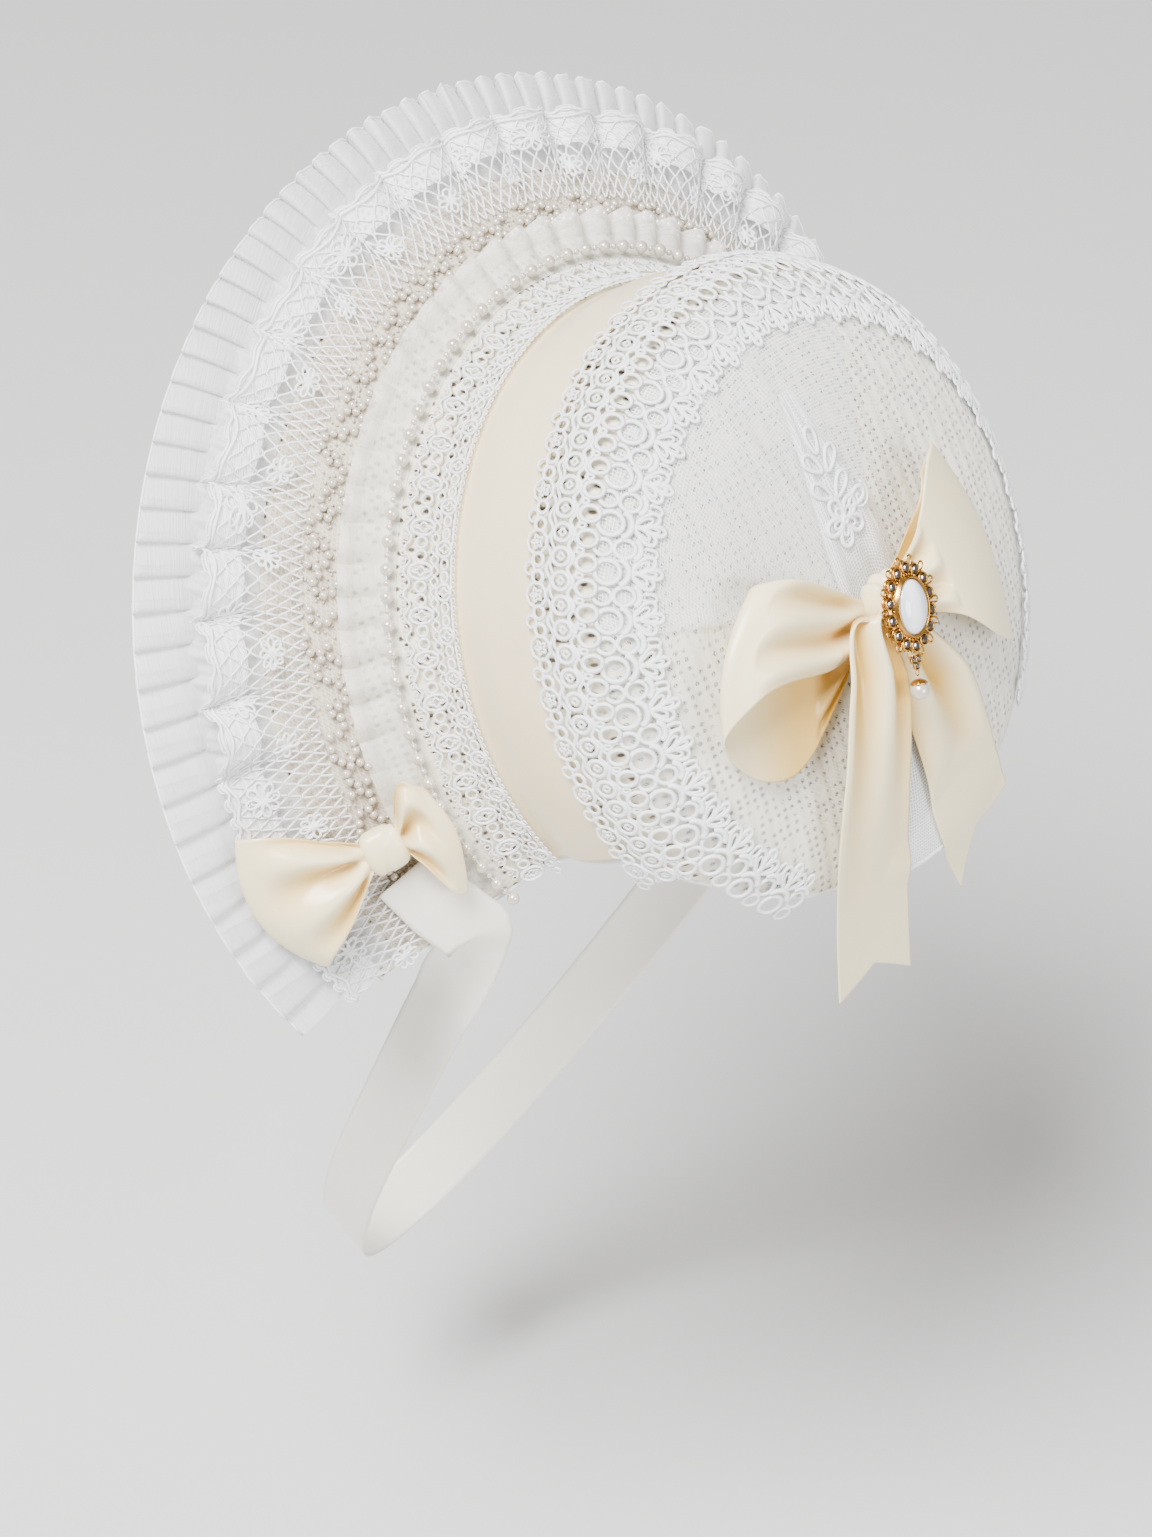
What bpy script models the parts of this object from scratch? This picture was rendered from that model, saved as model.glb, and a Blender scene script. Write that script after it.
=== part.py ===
"""Half bonnet: a lace-trimmed brim on a soft rounded crown, with satin bows, a brooch and a chin ribbon.

Metres, +Z up. The wearer faces -Y and +X is the wearer's left. The origin is the point inside the
crown, above the middle of the head, on which the bonnet sits.

Most pieces lie on one curved surface, the shell. A place on it has three numbers: the run, measured
along the surface from the middle of the crown's back; the angle round the head, 0 at the top and
positive on the wearer's left; and the lift above the crown's outer face.
"""
import math

import bmesh
import bpy
import numpy as np
from mathutils import Matrix

OBJECT_NAME = "half_bonnet"

# The head axis runs from the face to the back of the head and climbs by this angle.
HEAD_TILT = math.radians(26.5)
AXIS = np.array([0.0, math.cos(HEAD_TILT), math.sin(HEAD_TILT)])
RISE = np.array([0.0, -math.sin(HEAD_TILT), math.cos(HEAD_TILT)])
SIDE = np.array([1.0, 0.0, 0.0])

# Rings of the shell, from the back of the crown to the rim of the brim:
# depth ahead of the back, radius over the top, sideways share of that radius, end angle in degrees.
SHELL = np.array([
    (0.0000, 0.0000, 0.93, 180.0),
    (0.0022, 0.0540, 0.93, 180.0),
    (0.0060, 0.0780, 0.93, 180.0),
    (0.0120, 0.0950, 0.93, 152.0),
    (0.0240, 0.1075, 0.93, 124.0),
    (0.0435, 0.1130, 0.93, 112.0),
    (0.0660, 0.1115, 0.93, 115.0),
    (0.0885, 0.1075, 0.93, 118.0),
    (0.1075, 0.1190, 0.95, 119.0),
    (0.1310, 0.1480, 0.99, 117.0),
    (0.1550, 0.1770, 1.03, 115.0),
])

WALL = 0.002            # crown and brim fabric with its stiffening
CLOTH = 0.001           # satin band, laces and frills
GAP = 0.0005            # between layers that lie on one another

# Where each piece starts and ends along the run.
CROWN_END = 0.1790
BRIM_START, BRIM_END = 0.1796, 0.2500
BAND_START, BAND_END = 0.1340, 0.1810
UNDER_BAND = (BAND_START, 0.1500, 0.1660, 0.1740)
PEARL_RUN = 0.2010
ORGANZA_START, ORGANZA_FOLD, ORGANZA_END = 0.1985, 0.2045, 0.2220
NET_START, NET_MIDDLE, NET_END = 0.2120, 0.2205, 0.2290
LACE_FRILL_START, LACE_FRILL_END = 0.2250, 0.2600
RUFFLE_START, RUFFLE_END = 0.2400, 0.2765
OVERLAY_END = 0.1120
CROWN_BACK = (0.0, 0.0180, 0.0360, 0.0540, 0.0700, 0.0830, 0.0960, OVERLAY_END)

# Lifts of the layers above the shell.
FIRST_LAYER = 0.0006
SECOND_LAYER = FIRST_LAYER + CLOTH + GAP
THIRD_LAYER = SECOND_LAYER + CLOTH + GAP

# Lace braids: start and end run, depth of the scallops at the start and at the end, row of rings.
LACES = {
    "front_lace": (0.1760, 0.1970, 0.0030, 0.0015, 1),
    "crown_lace": (0.1110, 0.1360, 0.0020, 0.0050, 2),
}
LACE_ROWS = (0.0, 0.38, 0.70, 1.0)      # shares of a braid's width

# Folded tulle: start and end run, half width at the start and at the end, middle's angle.
TULLE_FOLDS = {
    "tulle_fan": (0.013, 0.070, 0.011, 0.005, 0.0),
    "tulle_end": (0.013, 0.094, 0.005, 0.032, 172.0),
}
TULLE_FOLD_HEIGHT = 0.0008
FINE_CLOTH = 0.0008     # tulle folds and ribbons

CROWN_COLUMNS = 24      # sectors round the head of the smooth pieces
ORGANZA_WAVES = 26
LACE_FRILL_WAVES = 20
LACE_COLUMNS = 40
EDGE_MARGIN = 1.0       # degrees that the trimmings stop short of the crown's and brim's ends

PEARL_RADIUS = 0.0022
PEARL_THREAD_POINTS = 33

BOW_CENTRE_SIDE = 0.0045
SEAT_DEPTH = 0.0435
SEAT_RADIUS = 0.1130 - WALL
BACK_POLE = SEAT_DEPTH * AXIS - SEAT_RADIUS * RISE

# Name: sRGB colour, roughness, metallic.
FINISHES = {
    "crown_knit": ("F1ECD9", 0.85, 0.0),
    "cream_satin": ("F1E5CE", 0.35, 0.0),
    "white_satin": ("ECEBE8", 0.35, 0.0),
    "white_lace": ("F3F4F6", 0.80, 0.0),
    "sheer_white": ("EFF1F4", 0.60, 0.0),
    "beige_net": ("D9CDBB", 0.80, 0.0),
    "pearl": ("F4F1EC", 0.20, 0.0),
    "gold_plate": ("D9A650", 0.25, 1.0),
    "cats_eye_glass": ("F2F4FA", 0.12, 0.0),
    "rhinestone": ("C9C2B8", 0.05, 0.0),
}


def clear_scene():
    for item in list(bpy.data.objects):
        bpy.data.objects.remove(item, do_unlink=True)


def srgb_to_linear(hex_code):
    channels = [int(hex_code[i:i + 2], 16) / 255.0 for i in (0, 2, 4)]
    linear = [c / 12.92 if c <= 0.04045 else ((c + 0.055) / 1.055) ** 2.4 for c in channels]
    return (*linear, 1.0)


def finish(name):
    """The material of that name, made on its first use."""
    made = bpy.data.materials.get(name)
    if made:
        return made
    colour, roughness, metallic = FINISHES[name]
    made = bpy.data.materials.new(name)
    made.use_nodes = True
    shader = made.node_tree.nodes["Principled BSDF"]
    shader.inputs["Base Color"].default_value = srgb_to_linear(colour)
    shader.inputs["Roughness"].default_value = roughness
    shader.inputs["Metallic"].default_value = metallic
    made.diffuse_color = srgb_to_linear(colour)
    return made


def smooth(knots, values, at):
    """Cubic curve through a table, whose slope at each knot is that of the knots around it."""
    slopes = np.gradient(values, knots, axis=0)
    low = np.clip(np.searchsorted(knots, at, side="right") - 1, 0, len(knots) - 2)
    width = knots[low + 1] - knots[low]
    t = (at - knots[low]) / width
    if np.ndim(values) > 1:
        t = t[:, None]
        width = width[:, None]
    rising = t * t * (3.0 - 2.0 * t)
    leave = t * (1.0 - t) ** 2 * slopes[low] * width
    arrive = t * t * (t - 1.0) * slopes[low + 1] * width
    return values[low] * (1.0 - rising) + values[low + 1] * rising + leave + arrive


# The first ring is mirrored through the pole, so the crown's back is level there.
RINGS = np.vstack([SHELL[1] * (1.0, -1.0, 1.0, 1.0), SHELL])
RING_STEPS = np.hypot(np.diff(RINGS[:, 0]), np.diff(RINGS[:, 1]))
RUNS = np.concatenate([[0.0], np.cumsum(RING_STEPS)]) - RING_STEPS[0]


def end_angle(run):
    return np.interp(run, RUNS, RINGS[:, 3])


def shell(run, angle, lift=0.0):
    """Point of the shell: its ring's ellipse at that angle, moved out along the surface's normal."""
    run, angle, lift = np.broadcast_arrays(np.asarray(run, float), np.radians(angle), lift)
    across, down = np.cos(angle)[..., None], np.sin(angle)[..., None]

    def on_ring(at):
        depth, radius, share = (smooth(RUNS, RINGS[:, i], at)[..., None] for i in range(3))
        return -depth * AXIS + radius * (across * RISE + share * down * SIDE), share

    place, share = on_ring(run)
    along = on_ring(run + 1e-5)[0] - place
    around = -down * RISE + share * across * SIDE
    normal = np.cross(along, around)
    normal /= np.linalg.norm(normal, axis=-1, keepdims=True)
    return BACK_POLE + place + lift[..., None] * normal


def shell_grid(runs, columns, lift, margin=0.0):
    """Rows of shell points at the given runs, with the columns spread between the end angles."""
    share = np.linspace(-1.0, 1.0, columns + 1)
    run = np.asarray(runs)[:, None]
    angle = share[None, :] * (end_angle(run) - margin)
    return shell(run, angle, lift(run, angle) if callable(lift) else lift)


def bow_place(side, rise, out):
    """Point near the crown's back, in the upright frame whose origin is the back pole."""
    return BACK_POLE + np.multiply.outer(side, SIDE) + np.multiply.outer(rise, RISE) + \
        np.multiply.outer(out, AXIS)


def crown_out(side, rise):
    """How far out the crown's back lies at that point of the upright frame."""
    run = np.linspace(0.0, BAND_START, 200)
    depth, radius, share = (smooth(RUNS, RINGS[:, i], run) for i in range(3))
    return -np.interp(np.hypot(side / share[0], rise), radius, depth)


def place_object(name, mesh, finish_name):
    made = bpy.data.objects.new(name, mesh)
    made.data.materials.append(finish(finish_name))
    PARTS.objects.link(made)
    return made


def sheet(name, grid, thickness, finish_name, inward=False, holes=()):
    """A wall with real thickness on a grid of rows and columns of points.

    Its faces point to the side where rows x columns does; holes lists the (row, column) left open.
    """
    rows, columns = grid.shape[:2]
    index = np.arange(rows * columns).reshape(rows, columns)
    open_cells = set(holes)
    faces = [
        (index[i, j], index[i + 1, j], index[i + 1, j + 1], index[i, j + 1])
        for i in range(rows - 1) for j in range(columns - 1) if (i, j) not in open_cells
    ]
    mesh = bpy.data.meshes.new(name)
    mesh.from_pydata(grid.reshape(-1, 3).tolist(), [], [tuple(int(k) for k in face) for face in faces])
    edit = bmesh.new()
    edit.from_mesh(mesh)
    bmesh.ops.remove_doubles(edit, verts=edit.verts, dist=0.00002)
    loose = [vertex for vertex in edit.verts if not vertex.link_faces]
    bmesh.ops.delete(edit, geom=loose, context="VERTS")
    edit.to_mesh(mesh)
    edit.free()
    made = place_object(name, mesh, finish_name)
    mesh.shade_smooth()
    wall = made.modifiers.new("wall", "SOLIDIFY")
    wall.thickness = thickness
    wall.offset = -1.0 if inward else 1.0
    wall.use_even_offset = False
    return made


def ribbon_grid(table, samples, across, notch=0.0):
    """Ribbon between two edges: smooth curves through the table's rows, straight across.

    A row is the one edge's (side, rise, out) and then the other's. The notch moves the last rows'
    middle back along the ribbon, for an end cut to a V.
    """
    table = np.asarray(table)
    middle = (table[:, :3] + table[:, 3:]) / 2.0
    knots = np.concatenate([[0.0], np.cumsum(np.linalg.norm(np.diff(middle, axis=0), axis=1))])
    share = np.linspace(0.0, 1.0, across + 1)
    grid = np.empty((samples + 1, across + 1, 3))
    for j, v in enumerate(share):
        length = knots[-1] - notch * (1.0 - abs(2.0 * v - 1.0))
        at = np.linspace(0.0, length, samples + 1)
        edges = smooth(knots, table, at)
        grid[:, j] = edges[:, :3] * (1.0 - v) + edges[:, 3:] * v
    return grid


def build_crown():
    runs = [*CROWN_BACK, *UNDER_BAND, CROWN_END]
    sheet("crown", shell_grid(runs, CROWN_COLUMNS, 0.0), WALL, "crown_knit", inward=True)


def build_brim():
    runs = [BRIM_START, 0.188, 0.197, ORGANZA_FOLD, NET_START, NET_MIDDLE, NET_END, BRIM_END]
    sheet("brim", shell_grid(runs, CROWN_COLUMNS, 0.0), WALL, "crown_knit", inward=True)


def build_satin_band():
    grid = shell_grid([*UNDER_BAND, BAND_END], CROWN_COLUMNS, FIRST_LAYER, EDGE_MARGIN)
    sheet("satin_band", grid, CLOTH, "cream_satin")


def build_lace(name):
    """Lace braid with scallops on its edges and an open ring in every other column.

    The front braid lies on the band's edge and then steps down to the brim.
    """
    start, end, start_depth, end_depth, ring_row = LACES[name]
    share = np.linspace(-1.0, 1.0, LACE_COLUMNS + 1)
    wave = np.abs(np.sin(np.arange(LACE_COLUMNS + 1) * math.pi / 2.0))
    first = start + start_depth * (1.0 - wave)
    last = end - end_depth * (1.0 - wave)
    rows = first + (last - first) * np.array(LACE_ROWS)[:, None]
    angle = share * (end_angle(rows) - EDGE_MARGIN)
    lift = np.interp(rows, [BAND_END + 0.001, BAND_END + 0.006], [SECOND_LAYER, FIRST_LAYER])
    rings = [(ring_row, column) for column in range(1, LACE_COLUMNS, 2)]
    sheet(name, shell(rows, angle, lift), CLOTH, "white_lace", holes=rings)


def build_pearl_string():
    """The string of pearls as one tube of the pearls' size along its ring."""
    angle = np.linspace(-end_angle(PEARL_RUN), end_angle(PEARL_RUN), PEARL_THREAD_POINTS)
    points = shell(PEARL_RUN, angle, FIRST_LAYER + CLOTH + GAP + PEARL_RADIUS)
    curve = bpy.data.curves.new("pearl_string", "CURVE")
    curve.dimensions = "3D"
    curve.bevel_depth = PEARL_RADIUS
    curve.bevel_resolution = 2
    curve.use_fill_caps = True
    spline = curve.splines.new("POLY")
    spline.points.add(PEARL_THREAD_POINTS - 1)
    spline.points.foreach_set("co", np.column_stack([points, np.ones(len(points))]).ravel())
    made = bpy.data.objects.new("pearl_string", curve)
    curve.materials.append(finish("pearl"))
    PARTS.objects.link(made)


def flat_near_bows(angle):
    """Share of a frill's fullness that is left where a side bow presses it down."""
    return np.interp(np.abs(angle), [78.0, 86.0], [1.0, 0.12])


def build_bead_net():
    runs = [NET_START, NET_MIDDLE, NET_END]
    grid = shell_grid(runs, CROWN_COLUMNS, FIRST_LAYER, EDGE_MARGIN)
    sheet("bead_net_band", grid, CLOTH, "beige_net")


def frill(name, runs, lifts, waves, height, finish_name, columns):
    """Gathered strip: sewn down along its first two rows, and waving more towards its last."""
    run = np.asarray(runs)[:, None]
    share = np.linspace(-1.0, 1.0, columns + 1)[None, :]
    angle = share * (end_angle(run) - 2.0 * EDGE_MARGIN)
    grown = np.clip((run - runs[1]) / (runs[-1] - runs[1]), 0.0, 1.0)
    wave = 0.5 + 0.5 * np.cos(share * waves * math.pi)
    lift = np.interp(run, runs, lifts) + height * grown * wave * flat_near_bows(angle)
    sheet(name, shell(run, angle, lift), CLOTH, finish_name)


def build_frills():
    frill("organza_frill", [ORGANZA_START, ORGANZA_FOLD, 0.2110, ORGANZA_END],
          [FIRST_LAYER, FIRST_LAYER, SECOND_LAYER + 0.0003, SECOND_LAYER + 0.0006],
          ORGANZA_WAVES, 0.0050, "sheer_white", 2 * ORGANZA_WAVES)
    frill("lace_frill", [LACE_FRILL_START, 0.2350, LACE_FRILL_END],
          [SECOND_LAYER, SECOND_LAYER + 0.0009, THIRD_LAYER + 0.0002],
          LACE_FRILL_WAVES, 0.0080, "white_lace", 3 * LACE_FRILL_WAVES)


TOP_PLEAT, CORNER_PLEAT = 0.0085, 0.0165
PLEAT_HEIGHT = 0.0024
PLEAT_RISE = 0.8        # share of a pleat's width over which it rises


def pleat_edges():
    """Angles of the ruffle's pleats, which are closer over the head than at the corners."""
    angles = [0.0]
    limit = float(end_angle(RUFFLE_END)) - EDGE_MARGIN
    radius = SHELL[-1, 1]
    while angles[-1] < limit:
        pitch = TOP_PLEAT + (CORNER_PLEAT - TOP_PLEAT) * (angles[-1] / limit) ** 1.5
        angles.append(angles[-1] + math.degrees(pitch / radius))
    scale = limit / angles[-1]
    half = [angle * scale for angle in angles]
    return [-angle for angle in reversed(half[1:])] + half


def build_pleated_ruffle():
    """Knife pleats: each rises slowly along its width and drops back at its fold."""
    edges = pleat_edges()
    angle, height = [], []
    for first, second in zip(edges[:-1], edges[1:]):
        angle += [first, first + PLEAT_RISE * (second - first)]
        height += [0.0, 1.0]
    angle = np.array(angle + [edges[-1]])[None, :]
    height = np.array(height + [0.0])[None, :]
    runs = np.array([RUFFLE_START, 0.2520, RUFFLE_END])[:, None]
    lift = FIRST_LAYER + height * PLEAT_HEIGHT * np.array([0.0, 0.5, 1.0])[:, None]
    sheet("pleated_ruffle", shell(runs, angle, lift), CLOTH, "sheer_white")


def build_tulle_overlay():
    sheet("tulle_overlay", shell_grid(CROWN_BACK, CROWN_COLUMNS, FIRST_LAYER), CLOTH, "sheer_white")


def build_tulle_folds(name):
    """A narrow fan of three folds between two runs of the crown: above the bow, or its end below."""
    start, end, half_start, half_end, middle_angle = TULLE_FOLDS[name]
    run = np.linspace(start, end, 5)[:, None]
    share = np.linspace(-1.0, 1.0, 7)[None, :]
    half = half_start + (half_end - half_start) * (run - start) / (end - start)
    angle = middle_angle + np.degrees(share * half / run)
    fold = 0.5 + 0.5 * np.cos(share * 3.0 * math.pi)
    rising = np.sin(math.pi * (run - start) / (end - start))
    lift = SECOND_LAYER + fold * TULLE_FOLD_HEIGHT * rising
    sheet(name, shell(run, angle, lift), FINE_CLOTH, "sheer_white")


# The back bow's pieces, in millimetres from the back pole: one edge's (side, rise, out), then the other's.
LEFT_LOOP = [
    (12.4, 6.0, 9.0, 12.4, -5.0, 9.0),
    (27.0, 18.0, 14.0, 32.0, -6.0, 11.0),
    (49.0, 33.0, 15.0, 74.0, 3.0, 13.0),
    (55.0, 34.0, 10.0, 85.0, -3.0, 7.0),
    (49.0, 26.0, 4.0, 76.0, -22.0, 0.0),
    (34.0, 10.0, 4.2, 56.0, -32.0, 1.5),
    (22.0, 4.0, 4.6, 30.0, -18.0, 4.4),
    (12.4, 4.0, 4.6, 12.4, -5.0, 4.6),
]
RIGHT_LOOP = [
    (-2.7, 6.0, 9.0, -2.7, -6.0, 9.0),
    (-13.0, 21.0, 19.0, -20.0, -16.0, 18.0),
    (-27.0, 36.0, 18.0, -38.0, -34.0, 14.0),
    (-39.0, 35.0, 9.0, -52.0, -40.0, 2.0),
    (-38.0, 27.0, 2.6, -46.0, -32.0, -0.5),
    (-20.0, 13.0, 4.4, -24.0, -15.0, 4.4),
    (-2.7, 4.0, 4.6, -2.7, -5.0, 4.6),
]
LEFT_TAIL = [
    (6.0, 6.0, 17.8, 9.0, -6.0, 17.0),
    (13.0, 2.0, 18.3, 26.0, 6.0, 17.3),
    (10.0, -20.0, 16.0, 38.0, -12.0, 16.5),
    (13.0, -40.0, 12.0, 48.0, -38.0, 12.0),
    (17.0, -60.0, 6.0, 54.0, -60.0, 5.0),
    (17.0, -91.0, -8.0, 54.0, -91.0, -9.5),
    (16.0, -122.0, -22.0, 53.0, -126.0, -24.0),
]
RIGHT_TAIL = [
    (6.0, -9.8, 9.0, -5.0, -8.8, 9.0),
    (7.0, -22.0, 8.5, -14.0, -20.0, 8.5),
    (8.0, -40.0, 7.0, -25.0, -38.0, 6.5),
    (6.0, -62.0, 3.5, -31.0, -62.0, 1.5),
    (0.0, -92.0, -8.0, -38.0, -84.0, -7.0),
    (-15.0, -119.0, -21.0, -41.0, -92.0, -10.0),
]
KNOT_SIZE = (0.0184, 0.0230, 0.0115)
KNOT_OUT = 0.0120
BOW_CLEARANCE = 0.0052  # over the crown, with the tulle between
TAIL_NOTCH = 0.010      # depth of the V cut into a tail's end


def turn_outwards(mesh):
    """Make the faces of a closed mesh point out of it."""
    edit = bmesh.new()
    edit.from_mesh(mesh)
    bmesh.ops.recalc_face_normals(edit, faces=edit.faces)
    edit.to_mesh(mesh)
    edit.free()


def frame_matrix(centre, frame, size=(1.0, 1.0, 1.0)):
    """Matrix that carries X, Y and Z to three unit vectors of the given lengths, at that centre."""
    columns = [np.append(axis * length, 0.0) for axis, length in zip(frame, size)]
    return Matrix(np.column_stack([*columns, np.append(centre, 1.0)]).tolist())


def adopt(made, name, finish_name):
    """Name a primitive that was just added and move it to the part's collection."""
    made.name = name
    made.data.name = name
    made.data.materials.append(finish(finish_name))
    for home in list(made.users_collection):
        home.objects.unlink(made)
    PARTS.objects.link(made)
    return made


def soft_block(name, centre, frame, size, levels, finish_name):
    """A rounded lump from a subdivided box, turned to a frame of three unit vectors."""
    bpy.ops.mesh.primitive_cube_add(size=1.0)
    made = adopt(bpy.context.object, name, finish_name)
    made.data.transform(frame_matrix(centre, frame, size))
    turn_outwards(made.data)
    rounding = made.modifiers.new("rounding", "SUBSURF")
    rounding.levels = levels
    rounding.render_levels = levels
    made.data.shade_smooth()


def build_back_bow():
    def place(grid):
        side, rise, out = grid[..., 0], grid[..., 1], grid[..., 2]
        return bow_place(side, rise, np.maximum(out, crown_out(side, rise) + BOW_CLEARANCE))

    def piece(name, table, samples, across, notch=0.0):
        grid = ribbon_grid(np.array(table) * 0.001, samples, across, notch)
        sheet(name, place(grid), FINE_CLOTH, "cream_satin")

    piece("back_bow_loop_left", LEFT_LOOP, 15, 3)
    piece("back_bow_loop_right", RIGHT_LOOP, 14, 3)
    piece("back_bow_tail_left", LEFT_TAIL, 10, 2, TAIL_NOTCH)
    piece("back_bow_tail_right", RIGHT_TAIL, 9, 2, TAIL_NOTCH)
    centre = bow_place(BOW_CENTRE_SIDE, 0.0, KNOT_OUT)
    soft_block("back_bow_knot", centre, (SIDE, RISE, AXIS), KNOT_SIZE, 2, "cream_satin")


# The brooch: an oval cabochon in a sunburst setting with a ring of stones, and a pearl below it.
BROOCH_TURN = math.radians(16.0)
BROOCH_SIDE = SIDE * math.cos(BROOCH_TURN) + RISE * math.sin(BROOCH_TURN)
BROOCH_RISE = RISE * math.cos(BROOCH_TURN) - SIDE * math.sin(BROOCH_TURN)
BROOCH_CENTRE = bow_place(BOW_CENTRE_SIDE, 0.0, 0.0196)
CABOCHON_HALF = np.array([0.0065, 0.0090])
CABOCHON_HEIGHT = 0.0042
CABOCHON_SEAT = 0.0003          # between the cabochon and its setting
SETTING_HALF = np.array([0.0116, 0.0146])
SETTING_LOBE = 0.05             # how much of its width the setting's edge waves
SETTING_FLOOR = 0.0006
SETTING_BACK, BACK_SHARE = -0.0010, 0.86    # where its bevelled back ends, and how wide that is
SETTING_RIM = -0.0002
BEZEL_TOP = 0.0028
BEZEL_FOOT, BEZEL_OUTER, BEZEL_INNER = 0.0011, 0.0009, 0.0004   # past the cabochon's edge
STONE_COUNT = 14
STONE_RADIUS = 0.0016
STONE_TABLE = 0.58              # share of a stone's width that is its flat table
STONE_SEAT, STONE_TOP = 0.0010, 0.0021
STONE_INSET = 0.0019            # from the setting's edge to the middle of a stone
CUT_SIDES = 8
TURNED_SIDES = 10

# The drop's link, turned about the line it hangs on: radius, and distance below the setting.
DROP_LINK = [
    (0.0, 0.0), (0.0010, 0.0), (0.0021, 0.0016), (0.0021, 0.0040), (0.0008, 0.0056), (0.0008, 0.0064),
    (0.0021, 0.0072), (0.0025, 0.0082), (0.0, 0.0082),
]
DROP_GAP = 0.0003
DROP_OUT = 0.0004       # how far out of the setting's face the drop hangs
DROP_PEARL_RADIUS = 0.0033


def brooch_place(side, rise, out):
    """Point in the brooch's own frame, turned a little on the bow."""
    return BROOCH_CENTRE + np.multiply.outer(side, BROOCH_SIDE) + np.multiply.outer(rise, BROOCH_RISE) + \
        np.multiply.outer(out, AXIS)


def oval_loft(name, rings, finish_name, points):
    """Solid through oval rings, each (half width and height, out, share by which its lobes wave)."""
    angle = np.linspace(0.0, 2.0 * math.pi, points, endpoint=False)
    vertices = []
    for half, out, wave in rings:
        grown = 1.0 + wave * np.cos(STONE_COUNT * angle)
        spots = brooch_place(half[0] * grown * np.sin(angle), half[1] * grown * np.cos(angle),
                             np.full(points, out))
        vertices += spots.tolist()
    faces = [tuple(range(points)), tuple(range((len(rings) - 1) * points, len(rings) * points))]
    for ring in range(len(rings) - 1):
        low, high = ring * points, (ring + 1) * points
        for i in range(points):
            after = (i + 1) % points
            faces.append((low + i, high + i, high + after, low + after))
    mesh = bpy.data.meshes.new(name)
    mesh.from_pydata(vertices, [], faces)
    turn_outwards(mesh)
    place_object(name, mesh, finish_name)
    mesh.shade_smooth()
    mesh.set_sharp_from_angle(angle=math.radians(35.0))


def build_brooch():
    """The setting has a bevelled back, an edge, a floor for the stones and a bezel round the cabochon."""
    rings = [
        (SETTING_HALF * BACK_SHARE, SETTING_BACK, SETTING_LOBE),
        (SETTING_HALF, SETTING_RIM, SETTING_LOBE),
        (SETTING_HALF, SETTING_FLOOR, SETTING_LOBE),
        (CABOCHON_HALF + BEZEL_FOOT, SETTING_FLOOR, 0.0),
        (CABOCHON_HALF + BEZEL_OUTER, BEZEL_TOP, 0.0),
        (CABOCHON_HALF + BEZEL_INNER, BEZEL_TOP, 0.0),
        (CABOCHON_HALF + BEZEL_INNER, SETTING_FLOOR, 0.0),
    ]
    oval_loft("brooch_setting", rings, "gold_plate", 2 * STONE_COUNT)
    dome = [(1.0, 0.0), (1.0, 0.25), (0.86, 0.62), (0.55, 0.90), (0.22, 1.0)]
    rings = [(CABOCHON_HALF * wide, SETTING_FLOOR + CABOCHON_SEAT + CABOCHON_HEIGHT * tall, 0.0)
             for wide, tall in dome]
    oval_loft("brooch_cabochon", rings, "cats_eye_glass", 16)
    for i in range(STONE_COUNT):
        angle = i * 2.0 * math.pi / STONE_COUNT
        side, rise = (SETTING_HALF - STONE_INSET) * (math.sin(angle), math.cos(angle))
        build_stone("rhinestone_%02d" % (i + 1), side, rise)
    build_drop()


def build_stone(name, side, rise):
    """A cut stone in its seat: a crown of eight facets under a flat table."""
    bpy.ops.mesh.primitive_cone_add(vertices=CUT_SIDES, radius1=STONE_RADIUS,
                                    radius2=STONE_RADIUS * STONE_TABLE, depth=STONE_TOP - STONE_SEAT)
    centre = brooch_place(side, rise, (STONE_SEAT + STONE_TOP) / 2.0)
    stone = adopt(bpy.context.object, name, "rhinestone")
    stone.matrix_world = frame_matrix(centre, (-BROOCH_SIDE, BROOCH_RISE, AXIS))


def build_drop():
    """The link under the setting, with the cap of the pearl that hangs from it."""
    top = brooch_place(0.0, -SETTING_HALF[1] * (1.0 + SETTING_LOBE) - DROP_GAP, DROP_OUT)
    mesh = bpy.data.meshes.new("brooch_drop_link")
    profile = [(radius, 0.0, -below) for radius, below in DROP_LINK]
    mesh.from_pydata(profile, [(i, i + 1) for i in range(len(profile) - 1)], [])
    link = place_object("brooch_drop_link", mesh, "gold_plate")
    link.matrix_world = frame_matrix(top, (BROOCH_SIDE, AXIS, BROOCH_RISE))
    turning = link.modifiers.new("turning", "SCREW")
    turning.steps = TURNED_SIDES
    turning.render_steps = TURNED_SIDES
    turning.use_merge_vertices = True
    turning.merge_threshold = 0.00005
    centre = top - (DROP_LINK[-1][1] + DROP_GAP + DROP_PEARL_RADIUS) * BROOCH_RISE
    bpy.ops.mesh.primitive_uv_sphere_add(segments=12, ring_count=8, radius=DROP_PEARL_RADIUS,
                                         location=centre)
    pearl = adopt(bpy.context.object, "brooch_drop_pearl", "pearl")
    pearl.data.shade_smooth()


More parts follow.
